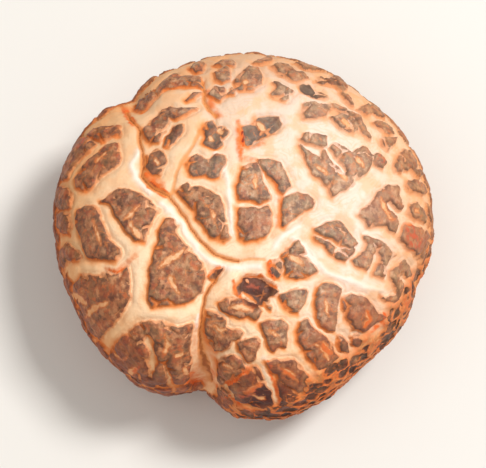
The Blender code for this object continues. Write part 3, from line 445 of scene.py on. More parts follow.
PATCHES = (
    Patch((2.0, 12.5), 3.0, shade=0.30, warmth=-0.65, sunk=0.8),
    Patch((1.4, -6.2), 2.7, shade=0.68, warmth=0.40, sunk=1.0),
    Patch((-3.0, -4.3), 1.2, shade=0.6, sunk=0.4),
    Patch((3.7, -3.9), 1.2, shade=0.35, sunk=0.3),
    Patch((8.2, 17.3), 2.0, shade=0.32, warmth=-0.2, sunk=0.4),
    Patch((10.4, 18.6), 2.4, shade=0.30, warmth=-0.1),
    Patch((20.2, -0.4), 2.4, shade=-0.05, warmth=0.40),
    Patch((7.8, 17.2), 1.6, shade=0.1, warmth=-0.6, sunk=0.2),
    Patch((-17.5, 3.0), 8.5, shade=0.16, warmth=-0.15),
    Patch((15.5, 3.0), 8.5, shade=0.08),
    Patch((2.2, -19.2), 1.8, shade=0.35, warmth=0.1, sunk=0.3),
    Patch((-10.6, 8.8), 1.9, shade=0.25, warmth=-0.35, sunk=0.4),
    Patch((-8.2, 11.9), 1.6, shade=0.30, warmth=-0.3, sunk=0.3),
    Patch((-3.7, 12.0), 2.2, shade=0.35, warmth=-0.45, sunk=0.5),
    Patch((-4.3, 8.2), 2.6, shade=0.10, warmth=-0.35, sunk=0.3),
    Patch((-9.6, 13.8), 2.6, shade=0.25, warmth=0.15, sunk=0.2),
    Patch((1.3, 1.5), 2.6, shade=-0.15, warmth=0.35),
    Patch((1.2, 6.2), 2.8, shade=-0.25, warmth=0.0),
    Patch((3.8, 7.0), 2.2, shade=-0.15, warmth=-0.2),
    Patch((16.2, 3.2), 3.6, shade=-0.05, warmth=0.35),
    Patch((8.6, -13.0), 3.6, shade=0.15, warmth=0.45),
    Patch((10.0, -9.2), 3.2, shade=0.0, warmth=0.3),
    Patch((13.8, -9.0), 3.4, shade=0.1, warmth=0.45),
    Patch((4.6, -16.8), 4.2, shade=0.25, warmth=0.45),
    Patch((0.8, -17.8), 3.2, shade=0.25, warmth=0.3),
    Patch((-14.0, -15.6), 4.2, shade=0.2, warmth=0.35),
    Patch((-8.6, -15.0), 4.2, shade=0.05, warmth=0.05),
    Patch((-17.4, -8.2), 4.4, shade=0.1, warmth=0.15),
    Patch((-17.4, 0.2), 3.4, shade=0.0, warmth=-0.1),
    Patch((14.5, -13.5), 4.0, shade=0.35, warmth=0.3),
    Patch((3.0, -21.5), 5.0, shade=0.55, warmth=0.3),
    Patch((-10.0, -20.0), 4.0, shade=0.45, warmth=0.35),
)


def smooth_step(low: float, high: float, value: Array | float) -> Array:
    """Rises softly from 0 at low to 1 at high.

    Args:
        low: Where the rise starts.
        high: Where it ends.
        value: The numbers to read it at.

    Returns:
        The share at each number.
    """
    share = np.clip((value - low) / (high - low), 0.0, 1.0)
    return share * share * (3.0 - 2.0 * share)


def rough(points: Array, size: float, octaves: int = 2, shift: float = 0.0) -> Array:
    """Natural unevenness, the same on each run.

    Args:
        points: Rows of x, y, z in millimetres.
        size: Width of the largest lumps in millimetres.
        octaves: How many finer layers are added.
        shift: Moves the pattern, so that two uses differ.

    Returns:
        A number for each row, mostly between -1 and 1.
    """
    places = points / size + shift
    return np.array([noise.fractal(Vector(place), 0.6, 2.0, octaves) for place in places])


def rough_offsets(points: Array, size: float, shifts: tuple[float, ...]) -> Array:
    """Natural offsets at each row, one column for each shift of the pattern."""
    return np.stack([rough(points, size, 2, shift) for shift in shifts], axis=1)


@dataclass(frozen=True)
class Lumps:
    """Natural unevenness of a height, with lumps of a size in millimetres."""

    height: float
    size: float
    octaves: int
    shift: float

    def at(self, points: Array) -> Array:
        """The heights at rows of x, y, z."""
        return self.height * rough(points, self.size, self.octaves, self.shift)


@dataclass(frozen=True)
class Rise:
    """A soft change from 0 to a most, as a value goes from a start to an end."""

    start: float
    end: float
    most: float = 1.0

    def at(self, value: Array) -> Array:
        """The change at each number."""
        return self.most * smooth_step(self.start, self.end, value)

    def of(self, graph: Graph, value: Source) -> Source:
        """The same change as shader nodes."""
        share = graph.step(value, self.start, self.end)
        return share if self.most == 1.0 else graph.times(share, self.most)


def radii(points: Array) -> Array:
    """Distance of each row from the upright axis."""
    return np.hypot(points[:, 0], points[:, 1])


def angles(points: Array) -> Array:
    """Angle of each row round the upright axis, in radians."""
    return np.arctan2(points[:, 1], points[:, 0])


def strewn(points: Array, rooms: Array, start: int, tries: int = 24000) -> Array:
    """Picks corners of a mesh in a mixed order, none nearer to an earlier one than the earlier one's room.

    Args:
        points: The corners to choose from.
        rooms: How much room each would take.
        start: Start of the mixed order.
        tries: How many corners are tried.

    Returns:
        The picked corners.
    """
    order = np.random.default_rng(start).permutation(len(points))[:tries]
    choice = points[order]
    free = np.ones(len(choice), dtype=bool)
    picked = []
    for index, place in enumerate(choice):
        if free[index]:
            picked.append(place)
            free &= np.sum((choice - place) ** 2, axis=1) > rooms[order[index]] ** 2
    return np.array(picked)


def within_cells(points: Array, middles: Array) -> Array:
    """How far each point lies from the edge of its cell: all that is nearest to one middle is a cell.

    Args:
        points: Rows of x, y, z.
        middles: The cells' middles.

    Returns:
        The distances.
    """
    tree = kdtree.KDTree(len(middles))
    for index, middle in enumerate(middles):
        tree.insert(middle, index)
    tree.balance()
    depth = np.empty(len(points))
    for index, point in enumerate(points):
        nearest, second = tree.find_n(point, 2)
        depth[index] = (second[2] - nearest[2]) / 2.0
    return depth


def lengths_along(section: Array) -> Array:
    """How far along a line of straight stretches each of its points lies."""
    return np.concatenate(([0.0], np.cumsum(np.hypot(*np.diff(section, axis=0).T))))


def read_corners(mesh: Mesh, kind: str) -> Array:
    """Reads a place or a direction at each corner.

    Args:
        mesh: The mesh.
        kind: What Blender calls it.

    Returns:
        Rows of x, y, z.
    """
    flat = np.empty(len(mesh.vertices) * 3)
    mesh.vertices.foreach_get(kind, flat)
    return flat.reshape(-1, 3)


def read_points(mesh: Mesh) -> Array:
    """The mesh's corners as rows of x, y, z."""
    return read_corners(mesh, "co")


def write_points(mesh: Mesh, points: Array) -> None:
    """Puts rows of x, y, z back into the mesh."""
    mesh.vertices.foreach_set("co", np.ascontiguousarray(points).ravel())
    mesh.update()


def write_mark(mesh: Mesh, mark: Mark, values: Array) -> None:
    """Stores one number for each corner of the mesh.

    Args:
        mesh: The mesh that gets the attribute.
        mark: What the numbers mean, which names the attribute.
        values: One number for each corner.
    """
    layer = mesh.attributes.new(mark.value, "FLOAT", "POINT")
    layer.data.foreach_set("value", np.ascontiguousarray(values, dtype=np.float32))


def softened(mesh: Mesh, values: Array, rounds: int) -> Array:
    """Evens out numbers between neighbouring corners of a mesh.

    Args:
        mesh: The mesh.
        values: One number for each corner.
        rounds: How many times each number moves to its neighbours' mean.

    Returns:
        The evened numbers.
    """
    pairs = np.empty(len(mesh.edges) * 2, dtype=np.int32)
    mesh.edges.foreach_get("vertices", pairs)
    first, second = pairs[0::2], pairs[1::2]
    count = np.bincount(pairs, minlength=len(values))
    for _ in range(rounds):
        total = np.bincount(first, values[second], len(values))
        total += np.bincount(second, values[first], len(values))
        values = 0.5 * values + 0.5 * total / count
    return values


def mesh_from(shape: bmesh.types.BMesh, name: str) -> Mesh:
    """Turns a finished bmesh into a mesh and frees it.

    Args:
        shape: The bmesh.
        name: The mesh's name.

    Returns:
        The mesh.
    """
    mesh = bpy.data.meshes.new(name)
    shape.to_mesh(mesh)
    shape.free()
    return mesh


def turned_mesh(name: str, section: list[Point], steps: int) -> Mesh:
    """Sweeps a section round the upright axis into a closed mesh.

    Args:
        name: The mesh's name.
        section: Radius and height of each point, from the axis down the outside and back to the axis.
        steps: How many steps make the full turn.

    Returns:
        The mesh, with its section's points in order along each step.
    """
    shape = bmesh.new()
    corners = [shape.verts.new((radius, 0.0, height)) for radius, height in section]
    edges = [shape.edges.new(pair) for pair in zip(corners, corners[1:])]
    bmesh.ops.spin(shape, geom=corners + edges, axis=(0.0, 0.0, 1.0), cent=(0.0, 0.0, 0.0),
                   angle=2.0 * math.pi, steps=steps, use_merge=True)
    bmesh.ops.remove_doubles(shape, verts=shape.verts, dist=METRES / 2.0)
    bmesh.ops.recalc_face_normals(shape, faces=shape.faces)
    return mesh_from(shape, name)


def add_piece(name: str, mesh: Mesh, middle: Array, material: Material,
              node: NodeName) -> bpy.types.Object:
    """Puts a finished shape into the scene in place of a node.

    Args:
        name: The piece's name.
        mesh: Its mesh, in millimetres round the mushroom's own axis.
        middle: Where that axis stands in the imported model, in millimetres.
        material: Its finish.
        node: The node that it stands for.

    Returns:
        The piece.
    """
    write_points(mesh, (read_points(mesh) + middle) * METRES)
    mesh.shade_smooth()
    mesh.materials.append(material)
    piece = bpy.data.objects.new(name, mesh)
    bpy.context.scene.collection.objects.link(piece)
    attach(piece, BODY)
    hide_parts(node.value)
    log.info("%s: %d faces in place of %s", name, len(mesh.polygons), node.value)
    return piece


@dataclass(frozen=True)
class Sight:
    """The line along which the photograph's viewer looks at the mushroom."""

    elevation: float = math.radians(75.0)
    level: float = 9.8
    least_slope: float = 0.25

    def towards_viewer(self) -> Array:
        """Direction from the mushroom to the viewer."""
        return np.array((0.0, -math.cos(self.elevation), math.sin(self.elevation)))

    def seen(self, points: Array) -> Array:
        """Where the viewer sees each point: x to the right and y up, from the middle of the cap."""
        up = points[:, 1] * math.sin(self.elevation) + (points[:, 2] - self.level) * math.cos(self.elevation)
        return np.stack((points[:, 0], up), axis=1)

    def along_skin(self, distance: Array, offset: Array, normals: Array) -> Array:
        """Turns a seen distance into one along the skin, which runs away from the viewer near the edge.

        Args:
            distance: The seen distances.
            offset: The seen offsets that they were measured along.
            normals: The skin's outward directions.

        Returns:
            The distances along the skin.
        """
        length = np.maximum(np.hypot(offset[:, 0], offset[:, 1]), TINY)
        across = offset[:, 0] / length
        up = offset[:, 1] / length
        slope = np.stack((across, up * math.sin(self.elevation), up * math.cos(self.elevation)), axis=1)
        slope -= np.sum(slope * normals, axis=1)[:, None] * normals
        return distance / np.maximum(np.linalg.norm(slope, axis=1), self.least_slope)

    def to_line(self, seen: Array, normals: Array, line: Line) -> Array:
        """Distance from each corner to a line, along the skin."""
        return self.along_skin(*nearest_on_line(seen, line), normals)


def nearest_on_line(seen: Array, line: Line, closed: bool = False) -> tuple[Array, Array]:
    """Distance from each seen point to a line of straight stretches.

    Args:
        seen: Rows of x and y as the viewer sees them.
        line: The line's points.
        closed: Whether the last point joins the first.

    Returns:
        The distances, and the offsets from the nearest places on the line.
    """
    ends = list(line) + [line[0]] if closed else list(line)
    best = np.full(len(seen), np.inf)
    offset = np.zeros_like(seen)
    for start, end in zip(np.array(ends[:-1]), np.array(ends[1:])):
        along = end - start
        share = np.clip((seen - start) @ along / (along @ along), 0.0, 1.0)
        away = seen - (start + share[:, None] * along)
        distance = np.hypot(away[:, 0], away[:, 1])
        closer = distance < best
        best[closer] = distance[closer]
        offset[closer] = away[closer]
    return best, offset


def inside(seen: Array, outline: Line) -> Array:
    """Which seen points lie within an outline.

    Args:
        seen: Rows of x and y.
        outline: The outline's corners.

    Returns:
        True for each one that does.
    """
    x, y = seen[:, 0], seen[:, 1]
    within = np.zeros(len(seen), dtype=bool)
    for (x0, y0), (x1, y1) in zip(outline, outline[1:] + outline[:1]):
        if y0 == y1:
            continue
        within ^= ((y0 > y) != (y1 > y)) & (x < (x1 - x0) * (y - y0) / (y1 - y0) + x0)
    return within


@dataclass
class Reading:
    """What the crack pattern says at each corner of the cap's mesh; each mark has a field of its own name."""

    beyond: Array
    crease: Array
    sag: Array
    shade: Array
    warmth: Array
    sunk: Array
    ember: Array
    flank: Array
    side: Array
    streak: Array
    ridge: Array
    ragged: Array


@dataclass
class SkinPattern:
    """The plates, cracks and creases of the cap, laid onto it along the viewer's line of sight."""

    sight: Sight = field(default_factory=Sight)
    reach: float = 3.0
    edge_wander: float = 0.20
    wander_size: float = 1.6
    wander_shifts: Point = (3.0, 31.0)
    edge_fray: float = 0.09
    fray_size: float = 0.75
    fray_shifts: Point = (13.0, 23.0)
    streak_sway: float = 0.18
    nick_room: float = 1.9
    nick_start: int = 23
    nick_width: float = 0.20
    nick_closed: float = 0.5
    nick_reach: float = 2.8
    nick_gaps: Rise = Rise(-0.30, 0.20)
    nick_lumps: Lumps = Lumps(1.0, 3.0, 2, 91.0)
    swell: float = 0.09
    crease_limit: float = 9.0
    faint_widening: float = 1.3
    sag_reach: float = 2.8
    cleft_reach: float = 1.3
    cleft_ends: Rise = Rise(8.0, 2.0)
    cleft_shown: float = 0.4
    cleft_level: float = 0.5
    facing_viewer: Rise = Rise(0.08, 0.22)
    facing_up: Rise = Rise(0.04, 0.20)
    handover: float = 2.5
    handover_drawn: Rise = Rise(0.0, 0.5)
    handover_flank: Rise = Rise(0.24, 0.50)
    level_lumps: Lumps = Lumps(0.17, 5.0, 3, 61.0)
    steepness: Rise = Rise(0.50, 0.0)
    ragged_steepness: float = 0.8
    ribbon: float = 0.75
    flank_start: int = 7
    flank_room: float = 0.8
    crack_width: Point = (0.24, 0.20)
    crack_spread: Point = (0.20, 0.30)
    crack_bend: Point = (0.20, 0.50)
    bend_size: float = 1.5
    bend_shifts: Triple = (15.0, 35.0, 75.0)
    crack_lumps: Lumps = Lumps(1.0, 2.4, 3, 71.0)
    ragged_size_lumps: Lumps = Lumps(0.55, 2.8, 2, 77.0)
    ragged_fine_edge: Lumps = Lumps(0.9, 2.5, 2, 55.0)
    ragged_broad_edge: Lumps = Lumps(0.8, 7.0, 2, 95.0)
    ragged_edge: Rise = Rise(-0.7, 0.7)
    ragged_nowhere: float = 25.0
    ragged_from: Line = (
        (-122.0, 24.5), (-110.0, 22.6), (-98.0, 21.0), (-78.0, 20.5), (-62.0, 18.6), (-44.0, 18.4),
        (-26.0, 19.1), (-14.0, 20.8), (-2.0, 22.6), (12.0, 24.5))
    # Seen direction away from the key light; plate edges that face it get painted shade.
    far_side: Point = (-0.80, -0.60)
    patch_fade: Rise = Rise(0.55, 1.0)

    def read(self, points: Array, normals: Array, form: CapForm) -> Reading:
        """Reads the pattern at each corner.

        Args:
            points: The smooth cap's corners.
            normals: Its outward directions.
            form: The cap's sizes, which the flank's own plates are spread on.

        Returns:
            The pattern at each corner.
        """
        seen = self.sight.seen(points)
        wander = rough_offsets(points, self.wander_size, self.wander_shifts)
        fray = rough_offsets(points, self.fray_size, self.fray_shifts)
        swayed = seen + self.streak_sway * fray
        crease, sag, beside = self.creases(seen + 0.5 * self.edge_wander * wander, normals)
        beside = beside * self.cleft_ends.at(seen[:, 1])
        seen = seen + self.edge_wander * wander + self.edge_fray * fray
        ragged = self.ragged_rim(seen, points)
        smooth = 1.0 - ragged
        shown = self.facing_viewer.at(normals @ self.sight.towards_viewer())
        shown = shown * self.facing_up.at(normals[:, 2] + self.cleft_shown * beside) * smooth
        drawn, side = self.beyond_plates(seen, normals)
        drawn = self.nicked(points, drawn - self.swell)
        drawn = drawn + self.handover * (1.0 - self.handover_drawn.at(shown))
        level = normals[:, 2] + self.level_lumps.at(points) + self.cleft_level * beside
        flank = self.beyond_flank_plates(points, ragged, form)
        flank = flank + self.handover * self.handover_flank.at(level) * smooth
        flank = np.maximum(flank, self.ribbon - drawn)
        shade, warmth, sunk = self.patches(seen)
        return Reading(
            beyond=np.minimum(drawn, flank),
            crease=crease + self.crease_limit * (1.0 - shown),
            sag=sag * shown,
            shade=shade * shown,
            warmth=warmth * shown,
            sunk=sunk * shown,
            ember=self.strongest(swayed, normals, EMBERS, 0.0) * shown,
            flank=np.maximum(self.steepness.at(level), self.ragged_steepness * ragged),
            side=side * shown * smooth,
            streak=self.strongest(swayed, normals, STREAKS, -self.reach) - self.reach * (1.0 - shown),
            ridge=self.strongest(seen, normals, RIDGES, 0.0) * shown,
            ragged=ragged,
        )

    def ragged_rim(self, seen: Array, points: Array) -> Array:
        """Where the cap's near right edge breaks up into many small plates.

        Args:
            seen: Where the viewer sees each corner.
            points: The smooth cap's corners.

        Returns:
            1 where it does and 0 where it doesn't.
        """
        turn = np.degrees(np.arctan2(seen[:, 1], seen[:, 0]))
        turns, starts = zip(*self.ragged_from)
        start = np.interp(turn, turns, starts, self.ragged_nowhere, self.ragged_nowhere)
        reach = np.hypot(seen[:, 0], seen[:, 1])
        reach = reach + self.ragged_fine_edge.at(points) + self.ragged_broad_edge.at(points)
        return self.ragged_edge.at(reach - start)

    def beyond_plates(self, seen: Array, normals: Array) -> tuple[Array, Array]:
        """Distance beyond the nearest drawn plate's edge, and how far that edge faces away from the light.

        Args:
            seen: Where the viewer sees each corner.
            normals: The outward directions.

        Returns:
            Both, for each corner; the distance is negative within a plate.
        """
        best = np.full(len(seen), np.inf)
        offset = np.zeros_like(seen)
        within = np.zeros(len(seen), dtype=bool)
        for plate in PLATES:
            low = np.min(plate, axis=0) - self.reach
            high = np.max(plate, axis=0) + self.reach
            near = np.flatnonzero(np.all((seen > low) & (seen < high), axis=1))
            distance, away = nearest_on_line(seen[near], plate, True)
            closer = distance < best[near]
            best[near[closer]] = distance[closer]
            offset[near[closer]] = away[closer]
            within[near] |= inside(seen[near], plate)
        best = np.minimum(best, self.reach)
        length = self.sight.along_skin(best, offset, normals)
        side = offset @ np.array(self.far_side) / np.maximum(best, TINY)
        return np.where(within, -length, length), np.where(within, -side, side)

    def strongest(self, seen: Array, normals: Array, strokes: tuple[Streak | Ridge | Ember, ...],
                  least: float) -> Array:
        """The most that any of the drawn strokes says of each corner.

        Args:
            seen: Where the viewer sees each corner.
            normals: The outward directions.
            strokes: The strokes.
            least: What holds where there is none.

        Returns:
            The numbers.
        """
        most = np.full(len(seen), least)
        for stroke in strokes:
            length = self.sight.to_line(seen, normals, stroke.line)
            most = np.maximum(most, stroke.over(seen, length))
        return most

    def nicked(self, points: Array, beyond: Array) -> Array:
        """Lets short cracks run into the drawn plates from their edges.

        Args:
            points: The smooth cap's corners.
            beyond: Distance beyond the plates' edges.

        Returns:
            The distances, with the cracks in them.
        """
        gap = within_cells(points, strewn(points, np.full(len(points), self.nick_room), self.nick_start))
        open_end = smooth_step(-self.nick_reach, 0.0, beyond) * self.nick_gaps.at(self.nick_lumps.at(points))
        width = (self.nick_width + self.nick_closed) * open_end - self.nick_closed
        return np.maximum(beyond, width - gap)

    def beyond_flank_plates(self, points: Array, ragged: Array, form: CapForm) -> Array:
        """Distance beyond the edge of the nearest of the flank's small plates.

        Args:
            points: The smooth cap's corners.
            ragged: Where the edge breaks up into smaller plates.
            form: The cap's sizes.

        Returns:
            The distances.
        """
        sizes = np.interp(points[:, 2], form.plate_heights, form.plate_sizes)
        uneven_size = form.ragged_size * (1.0 + self.ragged_size_lumps.at(points))
        sizes += (uneven_size - sizes) * ragged
        kinds = (self.crack_width, self.crack_spread, self.crack_bend)
        crack, spread, bend = (plain + (broken - plain) * ragged for plain, broken in kinds)
        uneven = spread * self.crack_lumps.at(points)
        bent = rough_offsets(points, self.bend_size, self.bend_shifts)
        bent *= bend[:, None]
        middles = strewn(points, self.flank_room * sizes, self.flank_start)
        return crack + uneven - within_cells(points + bent, middles)

    def creases(self, seen: Array, normals: Array) -> tuple[Array, Array, Array]:
        """Reads the creases.

        Args:
            seen: Where the viewer sees each corner.
            normals: The outward directions.

        Returns:
            The distance to the nearest one in crease widths, how far the skin sags, and what lies beside one.
        """
        nearest = np.full(len(seen), self.crease_limit)
        sag = np.zeros(len(seen))
        beside = np.zeros(len(seen))
        for crease in CREASES:
            distance, away = nearest_on_line(seen, crease.line)
            length = self.sight.along_skin(distance, away, normals)
            paleness = self.faint_widening * (1.0 - crease.strength)
            nearest = np.minimum(nearest, np.hypot(length / crease.width, paleness))
            sag = np.maximum(sag, crease.strength * np.exp(-length / self.sag_reach))
            beside = np.maximum(beside, crease.strength * np.exp(-(distance / self.cleft_reach) ** 2))
        return nearest, sag, beside

    def patches(self, seen: Array) -> Array:
        """How dark, how warm and how sunken the plates are, one row for each.

        Args:
            seen: Where the viewer sees each corner.

        Returns:
            The three rows.
        """
        total = np.zeros((3, len(seen)))
        for patch in PATCHES:
            away = np.hypot(seen[:, 0] - patch.middle[0], seen[:, 1] - patch.middle[1])
            share = 1.0 - self.patch_fade.at(away / patch.radius)
            total += np.outer((patch.shade, patch.warmth, patch.sunk), share)
        return total


@dataclass
class CapForm:
    """Sizes of the cap, in millimetres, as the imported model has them."""

    radius: float = 22.6
    widest: float = 9.8
    rise: float = 12.9
    fullness: float = 2.4
    rim_radius: float = 16.9
    rim_height: float = 1.2
    inner_radius: float = 14.3
    inner_height: float = 4.4
    hollow_radius: float = 15.6
    hollow_turn: float = 7.6
    ceiling: float = 11.4
    crown_spacing: float = 0.9
    dome_points: int = 200
    roll_points: int = 60
    outside_share: float = 0.88
    plate_heights: Triple = (1.2, 9.8, 18.8)
    plate_sizes: Triple = (1.5, 2.4, 3.4)
    ragged_size: float = 1.50
    outline_from: Rise = Rise(0.30, 1.0)
    outline_fade: float = 1.5
    fold_sharpness: float = 1.5
    swellings: tuple[tuple[int, float, float], ...] = ((2, 0.25, 160.0), (3, 0.30, 40.0), (5, 0.22, 15.0))
    folds: tuple[Triple, ...] = (
        (131.0, 1.3, 5.0), (255.0, 2.9, 8.5), (310.0, 1.75, 20.0), (343.0, 0.8, 7.0))

    def dome(self) -> list[Point]:
        """The upper side from the crown to the widest point, without its last point."""
        power = 2.0 / self.fullness
        shares = [(k / self.dome_points) ** self.crown_spacing for k in range(self.dome_points)]
        turns = [math.pi / 2.0 * share for share in shares]
        return [(self.radius * math.sin(turn) ** power, self.widest + self.rise * math.cos(turn) ** power)
                for turn in turns]

    def underside(self) -> list[Point]:
        """The flank, the rolled edge and the hollow, from the widest point to the axis."""
        out, down = self.radius - self.rim_radius, self.widest - self.rim_height
        back, up = self.rim_radius - self.inner_radius, self.inner_height - self.rim_height
        turns = [math.pi / 2.0 * k / self.roll_points for k in range(self.roll_points)]
        flank = [(self.rim_radius + out * math.cos(turn), self.widest - down * math.sin(turn))
                 for turn in turns]
        roll = [(self.rim_radius - back * math.sin(turn), self.inner_height - up * math.cos(turn))
                for turn in turns]
        hollow = [(self.inner_radius, self.inner_height), (self.hollow_radius, self.hollow_turn),
                  (self.hollow_radius, self.ceiling), (0.0, self.ceiling)]
        return flank + roll + hollow

    def along(self, shares: Array) -> tuple[Array, Array]:
        """Radius and height at shares of the way from the crown round the edge into the hollow.

        Args:
            shares: 0 at the crown, 1 at the middle of the hollow's ceiling.

        Returns:
            The radii and the heights.
        """
        section = np.array(self.dome() + self.underside())
        length = lengths_along(section)
        end_of_roll = length[-4]
        reach = np.interp(shares, (0.0, self.outside_share, 1.0), (0.0, end_of_roll, length[-1]))
        return np.interp(reach, length, section[:, 0]), np.interp(reach, length, section[:, 1])

    def edge_offset(self, angle: Array) -> Array:
        """How far the outline stands out from its mean radius at each angle.

        Args:
            angle: The angles in radians.

        Returns:
            The offsets in millimetres.
        """
        offset = np.zeros_like(angle)
        for turns, size, crest in self.swellings:
            offset += size * np.cos(turns * (angle - math.radians(crest)))
        for place, depth, half_width in self.folds:
            away = np.angle(np.exp(1j * (angle - math.radians(place))))
            offset -= depth * np.exp(-np.abs(away / math.radians(half_width)) ** self.fold_sharpness)
        return offset

    def place(self, shares: Array, angle: Array) -> Array:
        """The smooth cap's points.

        Args:
            shares: How far along the section each point lies.
            angle: Its angle round the axis.

        Returns:
            Rows of x, y, z.
        """
        radius, height = self.along(shares)
        spread = self.outline_from.at(radius / self.radius) ** self.outline_fade
        spread[shares > self.outside_share] = 0.0
        radius = radius + self.edge_offset(angle) * spread
        return np.stack((radius * np.cos(angle), radius * np.sin(angle), height), axis=1)


@dataclass
class Cap:
    """The cracked cap as one fine mesh."""

    form: CapForm = field(default_factory=CapForm)
    pattern: SkinPattern = field(default_factory=SkinPattern)
    cells: int = 127
    ceiling_fade: float = 0.5
    lip_overlap: float = 0.2
    lip_fade: float = 1.5
    wall_margin: float = 0.4
    flesh_from: Rise = Rise(-0.05, 0.25)
    flank_ease: float = 0.45
    wall: Rise = Rise(-0.14, 0.22, 0.42)
    groove: float = 0.09
    groove_place: float = 0.26
    groove_width: float = 0.16
    bulge: float = 0.24
    bulge_from: Rise = Rise(0.2, 0.9)
    bulge_rounds: int = 6
    ridge_height: float = 0.16
    ragged_rise: Rise = Rise(-0.24, 0.20, 0.55)
    ragged_grit: Lumps = Lumps(0.16, 1.6, 2, 83.0)
    crease_depth: float = 0.30
    crease_spread: float = 1.2
    sag_depth: float = 1.0
    streak_dip: Rise = Rise(-0.12, 0.16, 0.06)
    ember_rise: Rise = Rise(-0.30, 0.10, 0.12)
    sinking: Rise = Rise(0.5, -0.2)
    plate_dome: Rise = Rise(0.0, -1.6, 0.12)
    lumps: Lumps = Lumps(0.16, 5.0, 2, 5.0)
    plate_grit: Lumps = Lumps(0.10, 1.0, 3, 11.0)
    flesh_grit: Lumps = Lumps(0.075, 1.3, 3, 17.0)
    folds: int = 27
    fold_height: float = 0.30
    fine_folds: int = 73
    fine_fold_height: float = 0.10
    fold_sway: tuple[Triple, ...] = ((1.6, 3.0, 0.0), (1.1, 7.0, 1.0))
    fold_lumps: Lumps = Lumps(0.8, 3.0, 2, 40.0)
    side_rounds: int = 3

    def base(self) -> Mesh:
        """A fine ball of even cells, laid onto the cap's section.

        Returns:
            The smooth cap.
        """
        shape = bmesh.new()
        bmesh.ops.create_cube(shape, size=2.0)
        bmesh.ops.subdivide_edges(shape, edges=shape.edges, cuts=self.cells - 1, use_grid_fill=True)
        mesh = mesh_from(shape, "cap_skin")
        even = np.tan(read_points(mesh) * math.pi / 4.0)
        even /= np.linalg.norm(even, axis=1)[:, None]
        shares = np.arccos(np.clip(even[:, 2], -1.0, 1.0)) / math.pi
        write_points(mesh, self.form.place(shares, angles(even)))
        return mesh

    def on_outside(self, points: Array) -> Array:
        """1 on the outer skin and 0 in the hollow, with a soft change under the rolled edge.

        Args:
            points: The smooth cap's corners.

        Returns:
            The share of the relief that each corner gets.
        """
        form, radius, height = self.form, radii(points), points[:, 2]
        above = smooth_step(form.ceiling, form.ceiling + self.ceiling_fade, height)
        out = smooth_step(form.inner_radius - self.lip_overlap, form.rim_radius, radius)
        low = 1.0 - smooth_step(form.inner_height, form.inner_height + self.lip_fade, height)
        beside = smooth_step(form.hollow_radius + self.wall_margin, form.rim_radius, radius)
        return np.maximum(above, np.maximum(beside, out * low))

    def relief(self, points: Array, reading: Reading, swollen: Array) -> Array:
        """Height of the skin above the smooth cap.

        Args:
            points: The smooth cap's corners.
            reading: The crack pattern there.
            swollen: How far the flesh bulges between the plates, from 0 to 1.

        Returns:
            The heights in millimetres.
        """
        beyond = reading.beyond
        flesh = self.flesh_from.at(beyond)
        cracks = self.bulge * swollen - self.wall.at(beyond)
        cracks -= self.groove * np.exp(-((beyond - self.groove_place) / self.groove_width) ** 2)
        height = (1.0 - self.flank_ease * reading.flank) * cracks
        height -= self.crease_depth * np.exp(-(reading.crease / self.crease_spread) ** 2)
        height -= self.sag_depth * reading.sag + self.streak_dip.at(reading.streak)
        height += self.ridge_height * reading.ridge
        height += np.minimum(reading.ember, 1.0) * self.ember_rise.at(beyond)
        height += reading.ragged * (self.ragged_rise.at(beyond) + self.ragged_grit.at(points))
        height += self.plate_dome.at(beyond) - reading.sunk * self.sinking.at(beyond)
        height += (1.0 - flesh) * self.plate_grit.at(points) + flesh * self.flesh_grit.at(points)
        return height + self.lumps.at(points) + self.rim_folds(points)

    def rim_folds(self, points: Array) -> Array:
        """Small upright folds round the rolled edge.

        Args:
            points: The smooth cap's corners.

        Returns:
            Their heights in millimetres.
        """
        low = 1.0 - smooth_step(self.form.rim_height + 1.0, self.form.widest, points[:, 2])
        turn = angles(points)
        wander = self.fold_lumps.at(points)
        for size, turns, start in self.fold_sway:
            wander += size * np.sin(turns * turn + start)
        fine = self.fine_fold_height * np.sin(self.fine_folds * turn + 2.0 * wander)
        return low * (self.fold_height * np.sin(self.folds * turn + wander) + fine)

    def build(self, middle: Array, material: Material) -> bpy.types.Object:
        """Makes the cap and puts it in place.

        Args:
            middle: Where the mushroom's axis stands.
            material: The skin's finish.

        Returns:
            The piece.
        """
        mesh = self.base()
        points = read_points(mesh)
        normals = read_corners(mesh, "normal")
        reading = self.pattern.read(points, normals, self.form)
        outside = self.on_outside(points)
        swollen = softened(mesh, self.bulge_from.at(reading.beyond), self.bulge_rounds)
        height = self.relief(points, reading, swollen) * outside
        write_points(mesh, points + normals * height[:, None])
        told = replace(reading, beyond=np.where(outside > 0.3, reading.beyond, 1.0),
                       side=softened(mesh, reading.side, self.side_rounds), ragged=reading.ragged * outside)
        for mark in Mark:
            write_mark(mesh, mark, getattr(told, mark.value))
        return add_piece("cap_skin", mesh, middle, material, NodeName.CAP)


